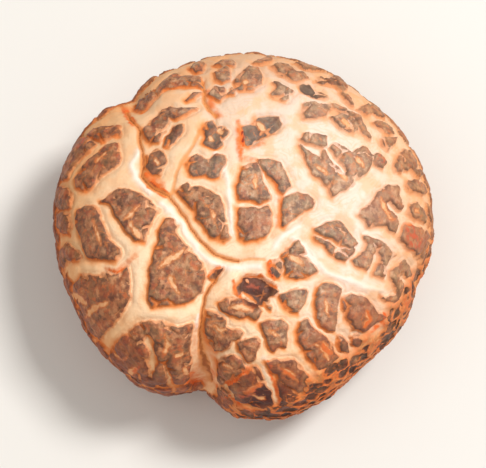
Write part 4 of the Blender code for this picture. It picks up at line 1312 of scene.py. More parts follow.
@dataclass
class GillBed:
    """The bed of gills: thin upright blades that run from the stem out to the rolled edge."""

    outer_radius: float = 15.1
    inner_radius: float = 6.9
    top: float = 11.0
    root: float = 10.2
    edge: float = 7.85
    hub: float = 8.9
    blades: int = 180
    steps_per_blade: int = 4
    rings: int = 32
    short_from: float = 9.6
    short_fade: float = 1.8
    short_least: float = 0.12
    short_most: float = 0.80
    pinch: float = 0.45
    flank_depth: float = 0.45
    sway: Lumps = Lumps(0.011, 2.6, 2, 9.0)
    sway_from: Rise = Rise(6.9, 9.0)
    waves: Lumps = Lumps(0.05, 1.1, 2, 21.0)
    waves_from: Rise = Rise(7.2, 8.0)
    rim_fall: float = 0.35
    rim_width: float = 2.5
    hub_width: float = 1.5
    depth_spread: float = 0.10

    def section(self) -> list[Point]:
        """The flat upper side, the edge and the underside that the blades are drawn from."""
        underside = [(float(radius), self.root)
                     for radius in np.linspace(self.outer_radius, self.inner_radius, self.rings)]
        return [(0.0, self.top), (self.outer_radius, self.top)] + underside + [(0.0, self.hub)]

    def build(self, middle: Array, material: Material) -> bpy.types.Object:
        """Makes the gills and puts them in place.

        Args:
            middle: Where the mushroom's axis stands.
            material: The flesh's finish.

        Returns:
            The piece.
        """
        steps = self.blades * self.steps_per_blade
        mesh = turned_mesh("gill_blades", self.section(), steps)
        points = read_points(mesh)
        radius = radii(points)
        step = np.rint(angles(points) * steps / (2.0 * math.pi)).astype(int)
        within = step % self.steps_per_blade
        blade = step // self.steps_per_blade
        bed = (points[:, 2] < self.top - 0.1) & (radius > self.inner_radius - 0.05)
        crest = bed & (within == 0)
        beside = bed & (within % 2 == 1)
        turn = angles(points)
        turn[beside] += (within[beside] - 2) * self.pinch * 2.0 * math.pi / steps
        turn[bed] += (self.sway.at(points) * self.sway_from.at(radius))[bed]
        points[:, 0] = radius * np.cos(turn)
        points[:, 1] = radius * np.sin(turn)
        depth = self.blade_depth(radius, blade)
        points[crest, 2] = self.root - depth[crest]
        points[beside, 2] = self.root - self.flank_depth * depth[beside]
        points[bed, 2] += (self.waves.at(points) * self.waves_from.at(radius))[bed]
        write_points(mesh, points)
        return add_piece("gill_blades", mesh, middle, material, NodeName.GILLS)

    def blade_depth(self, radius: Array, blade: Array) -> Array:
        """How far each blade hangs below the roots.

        Args:
            radius: Distance from the axis.
            blade: The blade's number; every second one is short and fades out towards the stem.

        Returns:
            The depths in millimetres.
        """
        full = self.root - self.edge
        hub = self.root - self.hub
        rim = smooth_step(self.outer_radius - self.rim_width, self.outer_radius, radius)
        out = smooth_step(self.inner_radius, self.inner_radius + self.hub_width, radius)
        short = smooth_step(self.short_from, self.short_from + self.short_fade, radius)
        uneven = 1.0 - self.depth_spread * np.abs(np.sin(blade * 12.9898))
        length = np.where(blade % 2 == 1, self.short_least + self.short_most * short, 1.0)
        return (hub + (full - hub) * out) * (1.0 - self.rim_fall * rim) * uneven * length


@dataclass
class Stem:
    """The short stem: furrowed and fibrous, with a flat cut end that the mushroom stands on."""

    top: float = 8.6
    top_radius: float = 6.3
    waist_radius: float = 4.9
    cut_radius: float = 5.2
    steps: int = 200
    rows: int = 70
    cut_rings: int = 14
    furrows: tuple[tuple[int, float, float], ...] = ((5, 0.22, 20.0), (9, 0.16, 75.0), (13, 0.10, 10.0))
    furrow_twist: float = 0.12
    fibre_squeeze: Triple = (1.0, 1.0, 0.18)
    fibres: Lumps = Lumps(0.14, 1.1, 2, 2.0)
    fine_fibres: Lumps = Lumps(0.07, 0.45, 2, 8.0)
    cut_grit: Lumps = Lumps(0.05, 0.7, 2, 14.0)

    def section(self) -> list[Point]:
        """The stem from the middle of its top down to the middle of its cut end."""
        key = np.array([
            (self.top_radius - 0.5, self.top), (self.top_radius, self.top - 0.5),
            (self.top_radius - 0.7, self.top - 1.8), (self.waist_radius + 0.1, self.top - 3.4),
            (self.waist_radius, 4.0), (self.waist_radius + 0.15, 2.4), (self.cut_radius, 0.9),
            (self.cut_radius, 0.3), (self.cut_radius - 0.3, 0.0),
        ])
        reach = lengths_along(key)
        places = np.linspace(0.0, reach[-1], self.rows)
        side = list(zip(*(np.interp(places, reach, column).tolist() for column in key.T)))
        cut = [(radius, 0.0) for radius in np.linspace(key[-1, 0], 0.0, self.cut_rings).tolist()[1:]]
        return [(0.0, self.top), (self.top_radius * 0.5, self.top)] + side + cut

    def build(self, middle: Array, material: Material) -> bpy.types.Object:
        """Makes the stem and puts it in place.

        Args:
            middle: Where the mushroom's axis stands.
            material: The stem's finish.

        Returns:
            The piece.
        """
        mesh = turned_mesh("stem_body", self.section(), self.steps)
        points = read_points(mesh)
        radius = radii(points)
        turn = angles(points)
        furrow = np.zeros(len(points))
        for turns, size, crest in self.furrows:
            furrow += size * np.cos(turns * (turn - math.radians(crest)) + self.furrow_twist * points[:, 2])
        drawn_out = points * self.fibre_squeeze
        furrow += self.fibres.at(drawn_out) + self.fine_fibres.at(drawn_out)
        side = smooth_step(0.0, self.waist_radius, radius)
        factor = 1.0 + furrow * side / self.waist_radius
        points[:, :2] *= factor[:, None]
        cut = points[:, 2] < 0.01
        points[cut, 2] = (np.abs(self.cut_grit.at(points)) * (1.0 - side ** 4))[cut]
        write_points(mesh, points)
        return add_piece("stem_body", mesh, middle, material, NodeName.STEM)


def paint(red: int, green: int, blue: int) -> Paint:
    """A colour as a painter's chart gives it, turned into the shader's linear values.

    Args:
        red: Its red, from 0 to 255.
        green: Its green.
        blue: Its blue.

    Returns:
        The linear colour.
    """
    chart = np.array((red, green, blue)) / 255.0
    linear = np.where(chart <= 0.04045, chart / 12.92, ((chart + 0.055) / 1.055) ** 2.4)
    return (float(linear[0]), float(linear[1]), float(linear[2]), 1.0)


class Graph:
    """One shader node tree, with short ways to add the nodes that the finishes use."""

    def __init__(self, tree: bpy.types.NodeTree) -> None:
        """Keeps the tree."""
        self.tree = tree

    def add(self, kind: str, inputs: dict[str | int, Source], **settings: object) -> bpy.types.Node:
        """Adds a node.

        Args:
            kind: The node's type.
            inputs: A value or another node's output for each named or numbered input.
            settings: The node's own settings.

        Returns:
            The node.
        """
        node = self.tree.nodes.new(kind)
        for name, value in settings.items():
            setattr(node, name, value)
        for key, value in inputs.items():
            if isinstance(value, Socket):
                self.tree.links.new(value, node.inputs[key])
            else:
                node.inputs[key].default_value = value
        return node

    def place(self) -> Socket:
        """The object's own coordinates, in millimetres."""
        own = self.add("ShaderNodeTexCoord", {}).outputs["Object"]
        return self.vector("MULTIPLY", own, (1.0 / METRES,) * 3)

    def mark(self, mark: Mark) -> Socket:
        """The numbers that the mesh stores under a mark."""
        return self.add("ShaderNodeAttribute", {}, attribute_name=mark.value).outputs["Fac"]

    def maths(self, operation: str, first: Source, second: Source = 0.0) -> Socket:
        """A sum, a product or another simple operation on two numbers."""
        return self.add("ShaderNodeMath", {0: first, 1: second}, operation=operation).outputs[0]

    def times(self, first: Source, *others: Source) -> Source:
        """The product of two numbers or more."""
        for other in others:
            first = self.maths("MULTIPLY", first, other)
        return first

    def plus(self, first: Source, second: Source) -> Socket:
        """The sum of two numbers."""
        return self.maths("ADD", first, second)

    def vector(self, operation: str, first: Source, second: Source = (0.0, 0.0, 0.0),
               output: str = "Vector") -> Socket:
        """A sum, a product or another simple operation on two places."""
        inputs = {0: first, 1: second}
        return self.add("ShaderNodeVectorMath", inputs, operation=operation).outputs[output]

    def step(self, value: Source, low: Source, high: Source) -> Socket:
        """A share that changes softly from 0 at low to 1 at high."""
        inputs = {"Value": value, "From Min": low, "From Max": high}
        return self.add("ShaderNodeMapRange", inputs, interpolation_type="SMOOTHSTEP").outputs["Result"]

    def spread(self, value: Source, least: float, most: float) -> Socket:
        """Stretches a share from 0 to 1 over a range of values."""
        inputs = {"Value": value, "To Min": least, "To Max": most}
        return self.add("ShaderNodeMapRange", inputs).outputs["Result"]

    def mix(self, share: Source, first: Source, second: Source, blend: str = "MIX") -> Socket:
        """A colour between two colours."""
        inputs = {0: share, 6: first, 7: second}
        return self.add("ShaderNodeMix", inputs, data_type="RGBA", blend_type=blend).outputs[2]

    def tinted(self, colour: Source, tint: Paint) -> Socket:
        """A colour as seen through a tint."""
        return self.mix(1.0, colour, tint, "MULTIPLY")

    def layered(self, colour: Source, value: Source, tones: Tones) -> Source:
        """Lays tones over a colour one after the other, each as far as the rise before it says of a value."""
        for rise, tone in tones:
            colour = self.mix(rise.of(self, value), colour, tone)
        return colour

    def clouds(self, place: Source, size: float, detail: float = 3.0) -> Socket:
        """Soft natural noise from 0 to 1, with lumps of a size in millimetres."""
        return self.noise(place, 1.0 / size, detail, 0.55)

    def noise(self, place: Source, scale: Source, detail: float, roughness: float = 0.5,
              output: str = "Fac") -> Socket:
        """Natural noise at a scale in lumps per millimetre."""
        inputs = {"Vector": place, "Scale": scale, "Detail": detail, "Roughness": roughness}
        return self.add("ShaderNodeTexNoise", inputs).outputs[output]

    def stretched(self, place: Source, along: Triple) -> Socket:
        """Coordinates drawn out by a factor on each axis, so that a pattern on them becomes fibres."""
        return self.vector("MULTIPLY", place, tuple(1.0 / factor for factor in along))

    def moved(self, place: Source, shift: float) -> Socket:
        """Coordinates moved sideways, so that two uses of one noise differ."""
        return self.vector("ADD", place, (shift,) * 3)

    def lean(self, place: Source, along: Triple) -> Socket:
        """How far along a direction a place lies, in millimetres."""
        return self.vector("DOT_PRODUCT", place, along, "Value")

    def from_axis(self, place: Source) -> Socket:
        """Distance from the upright axis, in millimetres."""
        return self.vector("LENGTH", self.vector("MULTIPLY", place, (1.0, 1.0, 0.0)), output="Value")

    def height(self, place: Source) -> Socket:
        """Height above the floor, in millimetres."""
        return self.add("ShaderNodeSeparateXYZ", {0: place}).outputs["Z"]

    def shared(self, group: bpy.types.NodeTree, inputs: dict[str | int, Source]) -> bpy.types.Node:
        """Places a shared effect in this tree."""
        return self.add("ShaderNodeGroup", inputs, node_tree=group)


@dataclass(frozen=True)
class Blotches:
    """Soft patches that a tone covers, with lumps of a size in millimetres."""

    size: float
    start: float
    end: float
    most: float = 1.0
    detail: float = 3.0
    shift: float = 0.0

    def of(self, graph: Graph, place: Source) -> Source:
        """How far the tone covers each place."""
        where = graph.moved(place, self.shift) if self.shift else place
        return Rise(self.start, self.end, self.most).of(graph, graph.clouds(where, self.size, self.detail))


Speckle = tuple[Paint, Paint, Paint]
Tones = tuple[tuple[Rise | Blotches, Source], ...]


class Effect:
    """The effects that more than one finish uses, each a node group that is built once."""

    def __init__(self) -> None:
        """Builds the groups."""
        self.mottle = self.make_mottle()
        self.grain = self.make_grain()

    def group(self, name: str, inputs: dict[str, str],
              outputs: dict[str, str]) -> tuple[Graph, bpy.types.NodeOutputs]:
        """Starts a node group.

        Args:
            name: The group's name.
            inputs: Its inputs' names and socket types.
            outputs: Its outputs' names and socket types.

        Returns:
            Its graph and what its input node gives.
        """
        tree = bpy.data.node_groups.new(name, "ShaderNodeTree")
        for label, kind in inputs.items():
            tree.interface.new_socket(label, in_out="INPUT", socket_type=kind)
        for label, kind in outputs.items():
            tree.interface.new_socket(label, in_out="OUTPUT", socket_type=kind)
        graph = Graph(tree)
        return graph, graph.add("NodeGroupInput", {}).outputs

    def make_mottle(self) -> bpy.types.NodeTree:
        """Specks of a dark and a light tone on a middle one."""
        inputs = {"Place": "NodeSocketVector", "Scale": "NodeSocketFloat", "Dark": "NodeSocketColor",
                  "Middle": "NodeSocketColor", "Light": "NodeSocketColor"}
        graph, given = self.group("mottle", inputs, {"Colour": "NodeSocketColor"})
        fine = graph.noise(given["Place"], given["Scale"], 3.0, 0.6)
        coarse = graph.noise(given["Place"], graph.times(given["Scale"], 0.36), 2.0)
        level = graph.plus(graph.times(fine, 0.62), graph.times(coarse, 0.38))
        tones = ((Rise(0.50, 0.36), given["Dark"]), (Rise(0.50, 0.66), given["Light"]))
        colour = graph.layered(given["Middle"], level, tones)
        graph.add("NodeGroupOutput", {"Colour": colour})
        return graph.tree

    def make_grain(self) -> bpy.types.NodeTree:
        """A fine uneven surface, as a height for a bump."""
        inputs = {"Place": "NodeSocketVector", "Scale": "NodeSocketFloat"}
        graph, given = self.group("grain", inputs, {"Height": "NodeSocketFloat"})
        graph.add("NodeGroupOutput", {"Height": graph.noise(given["Place"], given["Scale"], 4.0, 0.65)})
        return graph.tree

    def specks(self, graph: Graph, place: Source, size: float, tones: Speckle) -> Source:
        """Colour of specks of a size in millimetres, in a dark, a middle and a light tone."""
        inputs = {"Place": place, "Scale": 1.0 / size, **dict(zip(("Dark", "Middle", "Light"), tones))}
        return graph.shared(self.mottle, inputs).outputs["Colour"]

    def grained(self, graph: Graph, place: Source, size: float) -> Source:
        """Height of a fine uneven surface, with grains of a size in millimetres."""
        return graph.shared(self.grain, {"Place": place, "Scale": 1.0 / size}).outputs["Height"]


@dataclass(frozen=True)
class SkinTones:
    """Colours of the cap: brown leathery plates on cream flesh, with painted shade beside the plates, away
    from the key light and in the creases, and painted highlights along the ridges.
    """

    crown_plates: Speckle = (paint(108, 73, 53), paint(181, 131, 95), paint(222, 180, 145))
    flank_plates: Speckle = (paint(92, 52, 34), paint(160, 98, 64), paint(210, 148, 104))
    # Pale plate tone for light fibres and pale patches, also laid as painted light on plates towards the key
    # light.
    plate_pale_and_lit: Paint = paint(222, 180, 145)
    plate_bruise: Paint = paint(108, 74, 64)
    # Dark inner edge of the plates: partly the skin's own dark edge, partly painted shade on edges that face
    # away from the key light.
    plate_rim_and_shade: Paint = paint(84, 58, 44)
    # Painted shade: a darkening tint over the plates on the side away from the key light.
    plate_unlit_tint: Paint = paint(248, 222, 200)
    warm: Paint = paint(176, 92, 60)
    shaded: Paint = paint(126, 90, 76)
    # Flesh towards the key light, then the same flesh painted warmer and more tan away from it as painted
    # shade.
    flesh: Paint = paint(245, 217, 197)
    flesh_shaded_side: Paint = paint(255, 218, 178)
    # Painted shade: a darkening tint over the flesh towards the upper left.
    flesh_upper_left_shade: Paint = paint(234, 229, 222)
    flank_flesh: Paint = paint(238, 184, 134)
    # Painted highlight along the flesh's raised ridges.
    crest: Paint = paint(252, 238, 224)
    peach: Paint = paint(240, 186, 138)
    # Painted shade: tan laid on the flesh beside plate edges that face away from the key light.
    lee_shade: Paint = paint(234, 162, 100)
    slit: Paint = paint(246, 198, 150)
    rope: Paint = paint(238, 170, 112)
    pit: Paint = paint(104, 84, 56)
    rim_tint: Paint = paint(246, 221, 191)
    # Orange of the plate walls and hairline cracks, the flesh's own colour, laid more strongly on edges away
    # from the key light as painted shade.
    fringe_and_shade: Paint = paint(226, 128, 58)
    # The same orange fringe painted lighter where it faces the key light.
    fringe_lit_side: Paint = paint(224, 154, 104)
    # Painted shade: brown at the foot of the plate walls, strongest on the side away from the key light.
    foot_shade: Paint = paint(166, 86, 38)
    ember: Paint = paint(228, 118, 52)
    ember_plate: Paint = paint(208, 96, 62)
    plate_blotches: Tones = (
        (Blotches(1.3, 0.44, 0.62, 0.62), paint(136, 118, 92)),
        (Blotches(0.95, 0.50, 0.62, 0.70, 4.0, 17.0), plate_bruise),
        (Blotches(0.80, 0.54, 0.68, 0.75, shift=41.0), paint(212, 128, 80)))
    plate_fibres: Tones = ((Rise(0.52, 0.66, 0.58), plate_pale_and_lit), (Rise(0.44, 0.34, 0.35), plate_bruise))
    plate_drift: Tones = ((Blotches(1.1, 0.50, 0.68, 0.5, 4.0), warm),)
    plate_warmth: Tones = ((Rise(0.0, 1.0, 0.7), warm), (Rise(0.0, -1.0, 0.7), paint(112, 114, 106)))
    rope_tones: Tones = (
        (Blotches(1.2, 0.34, 0.56, shift=29.0), paint(222, 112, 50)),
        (Blotches(0.9, 0.46, 0.60, 0.8, shift=67.0), paint(170, 112, 66)))
    # Orange to deep red along the embers: partly the flesh's own colour, partly painted shade in shadowed
    # creases.
    ember_tones: Tones = (
        (Rise(0.0, 0.80), ember), (Rise(0.60, 1.0, 0.9), paint(232, 104, 34)),
        (Rise(1.05, 1.6), paint(150, 46, 18)))
    # Orange to dark brown along the creases: partly the folded flesh's own colour, partly painted shade in
    # the narrow folds.
    fold_tones: Tones = (
        (Rise(2.2, 0.7, 0.85), paint(226, 144, 74)), (Rise(0.85, 0.30, 0.85), paint(168, 92, 38)))
    towards_light: Triple = (0.9, 0.45, 0.0)
    towards_upper_left: Triple = (-0.55, 0.8, 0.0)
    speck: float = 0.72
    fray: float = 0.12
    fray_size: float = 0.9
    streak_fray: float = 1.5
    on_plate: Rise = Rise(0.04, -0.04)
    rim_from: Rise = Rise(13.5, 22.0)
    glow: Rise = Rise(0.35, 0.95, 0.8)
    glow_blotches: Blotches = Blotches(0.6, 0.40, 0.56)
    split: Rise = Rise(-0.04, 0.16, 0.80)
    split_rim: Rise = Rise(-0.26, 0.02, 0.55)
    split_tan: Blotches = Blotches(0.6, 0.44, 0.60, 0.75, shift=79.0)
    split_ember: Rise = Rise(0.2, 0.7)
    fibre_stretch: Triple = (0.9, 1.25, 1.1)
    fibre_size: float = 0.85
    fibre_detail: float = 3.5
    lit: Rise = Rise(-4.0, 16.0, 0.20)
    unlit: Rise = Rise(3.0, -8.0)
    moss: Blotches = Blotches(1.4, 0.42, 0.58, 0.7, shift=53.0)
    pit_size: float = 1.4
    pitted: Point = (-0.4, 1.3)
    darker: Rise = Rise(-0.1, 0.9)
    lighter: Rise = Rise(0.0, -0.5, 0.5)
    rim: Rise = Rise(-0.42, -0.08, 0.85)
    rim_shade_side: Point = (0.30, 0.85)
    rim_blotches: Blotches = Blotches(1.8, 0.30, 0.62)
    crackle: float = 2.4
    crackle_bend: float = 0.7
    crackle_bend_scale: float = 1.2
    crackle_line: Rise = Rise(0.050, 0.008, 0.40)
    crackle_blotches: Blotches = Blotches(1.6, 0.50, 0.62)
    growth_line: float = 0.42
    growth_sway: float = 0.5
    growth_sway_size: float = 2.6
    growth_from: Rise = Rise(0.25, 0.6)
    growth_blotches: Blotches = Blotches(1.8, 0.44, 0.62, detail=2.0)
    growth_share: float = 0.34
    growth_dip: float = -0.06
    flesh_lit: Rise = Rise(-9.0, 11.0)
    upper_left_shading: Rise = Rise(0.0, 16.0)
    worn: Blotches = Blotches(2.2, 0.44, 0.62, 0.65, 4.0)
    crest_highlight_share: float = 0.8
    lee_side: Rise = Rise(-0.25, 0.55)
    lee_end: float = 0.25
    lee_reach: Point = (0.6, 1.5)
    lee_reach_size: float = 1.4
    lee_share: Point = (0.85, 0.28)
    # How far a place lies towards the key light, where the painted shade fades.
    lit_share: Rise = Rise(0.0, 15.0)
    rope_share: float = 0.85
    rope_width: float = 0.42
    rope_bump: Rise = Rise(-0.16, 0.20, 1.6)
    fringe_start: Point = (0.28, 0.60)
    fringe_end: float = 0.10
    fringe_share: Point = (0.50, 0.95)
    fringe_fade: Point = (1.0, 0.60)
    foot_from: Rise = Rise(0.20, 0.02)
    foot_share: Point = (0.30, 0.75)
    foot_fade: Point = (1.0, 0.45)
    ember_blotches: Blotches = Blotches(0.9, 0.32, 0.64)
    ember_patchy: Point = (0.60, 1.20)
    fold_sway: float = 0.3
    fold_sway_size: float = 0.7
    grain: float = 0.26
    roughness: Point = (0.36, 0.66)
    flesh_roughness: Rise = Rise(1.0, 0.0, 0.22)
    specular: float = 0.4

    def material(self, effect: Effect) -> Material:
        """Builds the cap's material.

        Args:
            effect: The shared effects.

        Returns:
            The material.
        """
        material, graph, surface = new_material("cap_skin")
        place = graph.place()
        flank = graph.mark(Mark.FLANK)
        frayed = self.swayed(graph, place, self.fray_size, 2.0 * self.fray, 4.0)
        beyond = graph.plus(graph.mark(Mark.BEYOND), frayed)
        streak = graph.plus(graph.mark(Mark.STREAK), graph.times(frayed, self.streak_fray))
        on_plate = self.on_plate.of(graph, beyond)
        lines = self.growth_lines(graph, place, beyond)
        ember = graph.mark(Mark.EMBER)
        slit = graph.mix(self.split_tan.of(graph, place), self.slit, self.rope)
        slit = graph.mix(self.split_ember.of(graph, ember), slit, self.ember)
        glow = graph.times(self.glow.of(graph, ember), self.glow_blotches.of(graph, place))
        plate = graph.mix(glow, self.plate(graph, effect, place, beyond, flank), self.ember_plate)
        plate = graph.layered(plate, streak, ((self.split_rim, self.fringe_and_shade), (self.split, slit)))
        colour = graph.mix(on_plate, self.flesh_colour(graph, place, beyond, flank, lines), plate)
        tinted = graph.tinted(colour, self.rim_tint)
        colour = graph.mix(self.rim_from.of(graph, graph.from_axis(place)), colour, tinted)
        grain = effect.grained(graph, place, self.grain)
        roughness = graph.plus(graph.spread(grain, *self.roughness), self.flesh_roughness.of(graph, on_plate))
        rope = graph.times(self.rope_bump.of(graph, beyond), graph.mark(Mark.RAGGED))
        relief = graph.plus(graph.plus(grain, graph.times(lines, self.growth_dip)), rope)
        link_finish(graph, surface, colour, roughness, relief, 1.0, 0.0001)
        surface.inputs["Specular IOR Level"].default_value = self.specular
        return material

    def swayed(self, graph: Graph, place: Source, size: float, most: float, detail: float = 3.0) -> Source:
        """Natural unevenness between minus most and most, with lumps of a size in millimetres."""
        return graph.spread(graph.clouds(place, size, detail), -most, most)

    def growth_lines(self, graph: Graph, place: Source, beyond: Source) -> Source:
        """Faint wrinkles in the flesh that run alongside the plates' edges.

        Args:
            graph: The material's graph.
            place: The coordinates, in millimetres.
            beyond: Distance beyond the plates' edges.

        Returns:
            How far each place belongs to one.
        """
        swayed = graph.plus(beyond, self.swayed(graph, place, self.growth_sway_size, self.growth_sway, 2.0))
        wave = graph.maths("SINE", graph.times(swayed, 2.0 * math.pi / self.growth_line))
        fading = self.growth_blotches.of(graph, place)
        return graph.times(graph.step(wave, 0.0, 1.0), fading, self.growth_from.of(graph, beyond))

    def plate(self, graph: Graph, effect: Effect, place: Source, beyond: Source, flank: Source) -> Source:
        """Colour of the plates: speckled; darker just inside their edges, partly their own dark skin and
        partly painted shade on edges facing away from the key light; painted lighter towards the key light
        and darker away from it; warmer or colder in patches.

        Args:
            graph: The material's graph.
            effect: The shared effects.
            place: The coordinates, in millimetres.
            beyond: Distance beyond the plates' edges.
            flank: How far each place belongs to the flank.

        Returns:
            The colour.
        """
        fibre = graph.clouds(graph.stretched(place, self.fibre_stretch), self.fibre_size, self.fibre_detail)
        lean = graph.lean(place, self.towards_light)
        ragged = graph.mark(Mark.RAGGED)
        colour = effect.specks(graph, place, self.speck, self.crown_plates)
        colour = graph.layered(colour, place, self.plate_blotches)
        colour = graph.layered(colour, fibre, self.plate_fibres)
        colour = graph.mix(flank, colour, effect.specks(graph, place, self.speck, self.flank_plates))
        colour = graph.layered(colour, place, self.plate_drift)
        # Painted light and shade: plates lighter towards the key light and darker away from it.
        colour = graph.mix(self.lit.of(graph, lean), colour, self.plate_pale_and_lit)
        colour = graph.mix(self.unlit.of(graph, lean), colour, graph.tinted(colour, self.plate_unlit_tint))
        colour = graph.layered(colour, graph.mark(Mark.WARMTH), self.plate_warmth)
        colour = graph.mix(graph.times(ragged, self.moss.of(graph, place)), colour, self.pit)
        pitted = graph.times(ragged, graph.spread(graph.clouds(place, self.pit_size), *self.pitted))
        shade = graph.maths("MAXIMUM", graph.mark(Mark.SHADE), pitted)
        darker = graph.tinted(colour, self.shaded)
        colour = graph.layered(colour, shade, ((self.darker, darker), (self.lighter, self.plate_pale_and_lit)))
        colour = graph.mix(self.plate_cracks(graph, place), colour, self.fringe_and_shade)
        # Dark inner edge of the plates: partly their own dark skin, partly painted shade on edges facing away
        # from the key light.
        away = graph.spread(graph.mark(Mark.SIDE), *self.rim_shade_side)
        rim = graph.times(self.rim.of(graph, beyond), away, self.rim_blotches.of(graph, place))
        return graph.mix(rim, colour, self.plate_rim_and_shade)

    def plate_cracks(self, graph: Graph, place: Source) -> Source:
        """Hairline cracks that cross some of the plates.

        Args:
            graph: The material's graph.
            place: The coordinates, in millimetres.

        Returns:
            How far each place belongs to one.
        """
        bent = graph.noise(place, self.crackle_bend_scale, 2.0, output="Color")
        bent = graph.vector("MULTIPLY", bent, (self.crackle_bend,) * 3)
        inputs = {"Vector": graph.vector("ADD", place, bent), "Scale": 1.0 / self.crackle}
        cells = graph.add("ShaderNodeTexVoronoi", inputs, feature="DISTANCE_TO_EDGE").outputs["Distance"]
        return graph.times(self.crackle_line.of(graph, cells), self.crackle_blotches.of(graph, place))

    def flesh_colour(
            self, graph: Graph, place: Source, beyond: Source, flank: Source, lines: Source) -> Source:
        """Colour of the flesh: cream, painted near white along its raised ridges as a highlight, and warmer
        and more tan away from the key light as painted shade; tan and orange beside the plates, partly its
        own colour and partly painted shade on the side away from the light; orange to dark brown in the
        folds, partly painted shade.

        Args:
            graph: The material's graph.
            place: The coordinates, in millimetres.
            beyond: Distance beyond the plates' edges.
            flank: How far each place belongs to the flank.
            lines: How far each place belongs to a wrinkle.

        Returns:
            The colour.
        """
        lean = graph.lean(place, self.towards_light)
        upper_left = self.upper_left_shading.of(graph, graph.lean(place, self.towards_upper_left))
        lit_share = self.lit_share.of(graph, lean)
        ragged = graph.mark(Mark.RAGGED)
        # Painted light and shade: the flesh changes from its shaded copy to its lit copy towards the key
        # light.
        colour = graph.mix(self.flesh_lit.of(graph, lean), self.flesh_shaded_side, self.flesh)
        colour = graph.mix(flank, colour, self.flank_flesh)
        # Painted shade: the flesh darkens towards the upper left.
        colour = graph.mix(upper_left, colour, graph.tinted(colour, self.flesh_upper_left_shade))
        colour = graph.mix(self.worn.of(graph, place), colour, self.peach)
        colour = graph.mix(graph.times(lines, self.growth_share), colour, self.peach)
        # Painted highlight: the flesh turns near white along the raised ridges.
        colour = graph.mix(graph.times(graph.mark(Mark.RIDGE), self.crest_highlight_share), colour, self.crest)
        # Painted shade: a tan band beside plate edges that face away from the key light, weaker towards the
        # light, and on every side in the ragged zone.
        lee_shade = graph.maths("MAXIMUM", self.lee_side.of(graph, graph.mark(Mark.SIDE)), ragged)
        start = graph.spread(graph.clouds(place, self.lee_reach_size), *self.lee_reach)
        painted_shade_band = graph.times(graph.step(beyond, start, self.lee_end), lee_shade, graph.spread(lit_share, *self.lee_share))
        colour = graph.mix(painted_shade_band, colour, self.lee_shade)
        rope = graph.layered(self.rope, place, self.rope_tones)
        colour = graph.mix(graph.times(ragged, self.rope_share), colour, rope)
        from_edge = graph.maths("DIVIDE", beyond, graph.spread(ragged, 1.0, self.rope_width))
        # Orange fringe beside the plates: partly the flesh's own colour and partly painted shade, strongest
        # on edges away from the light and painted lighter towards it.
        near = graph.step(from_edge, graph.spread(lee_shade, *self.fringe_start), self.fringe_end)
        near = graph.times(near, graph.spread(lee_shade, *self.fringe_share), graph.spread(lit_share, *self.fringe_fade))
        colour = graph.mix(near, colour, graph.mix(lit_share, self.fringe_and_shade, self.fringe_lit_side))
        # Painted shade: brown at the foot of the plate walls, strongest away from the key light.
        foot_shade = graph.times(self.foot_from.of(graph, from_edge), graph.spread(lee_shade, *self.foot_share),
                           graph.spread(lit_share, *self.foot_fade))
        colour = graph.mix(foot_shade, colour, self.foot_shade)
        patchy = graph.spread(self.ember_blotches.of(graph, place), *self.ember_patchy)
        colour = graph.layered(colour, graph.times(graph.mark(Mark.EMBER), patchy), self.ember_tones)
        # Orange to dark brown along the creases, partly painted shade in the narrow folds.
        sway = self.swayed(graph, place, self.fold_sway_size, self.fold_sway)
        return graph.layered(colour, graph.plus(graph.mark(Mark.CREASE), sway), self.fold_tones)


@dataclass(frozen=True)
class GillTones:
    """Colours of the gills: pale tan blades, browner at their roots and towards the stem."""

    edge: Paint = paint(226, 188, 138)
    root: Paint = paint(128, 84, 50)
    stain: Paint = paint(176, 122, 76)
    stained: Blotches = Blotches(3.2, 0.46, 0.66, 0.6)
    towards_root: Rise = Rise(8.1, 9.9)
    grain: float = 0.30
    roughness: Point = (0.62, 0.86)

    def material(self, effect: Effect) -> Material:
        """Builds the gills' material.

        Args:
            effect: The shared effects.

        Returns:
            The material.
        """
        material, graph, surface = new_material("gill_flesh")
        place = graph.place()
        colour = graph.mix(self.towards_root.of(graph, graph.height(place)), self.edge, self.root)
        colour = graph.mix(self.stained.of(graph, place), colour, self.stain)
        grain = effect.grained(graph, place, self.grain)
        link_finish(graph, surface, colour, graph.spread(grain, *self.roughness), grain, 0.8, 0.00005)
        return material


@dataclass(frozen=True)
class StemTones:
    """Colours of the stem: a brown fibrous skin and a paler cut end."""

    skin: Speckle = (paint(108, 70, 44), paint(168, 122, 82), paint(212, 172, 124))
    cut: Paint = paint(232, 206, 166)
    cut_ring: Paint = paint(176, 128, 84)
    cut_rim: Rise = Rise(3.6, 4.9, 0.8)
    on_cut: Rise = Rise(0.25, 0.08)
    stretch: Triple = (1.0, 1.0, 6.0)
    fibre: float = 0.38
    grain: float = 0.26
    roughness: Point = (0.58, 0.84)

    def material(self, effect: Effect) -> Material:
        """Builds the stem's material.

        Args:
            effect: The shared effects.

        Returns:
            The material.
        """
        material, graph, surface = new_material("stem_flesh")
        place = graph.place()
        drawn_out = graph.stretched(place, self.stretch)
        face = graph.mix(self.cut_rim.of(graph, graph.from_axis(place)),
                         effect.specks(graph, place, self.fibre, (self.cut_ring, self.cut, self.cut)),
                         self.cut_ring)
        on_cut = self.on_cut.of(graph, graph.height(place))
        colour = graph.mix(on_cut, effect.specks(graph, drawn_out, self.fibre, self.skin), face)
        grain = effect.grained(graph, drawn_out, self.grain)
        link_finish(graph, surface, colour, graph.spread(grain, *self.roughness), grain, 1.0, 0.0001)
        return material


def new_material(name: str) -> tuple[Material, Graph, bpy.types.Node]:
    """Starts a material.

    Args:
        name: Its name, which is also its slot's.

    Returns:
        The material, its graph and its Principled shader.
    """
    material = bpy.data.materials.new(name)
    material.use_nodes = True
    graph = Graph(material.node_tree)
    return material, graph, material.node_tree.nodes["Principled BSDF"]


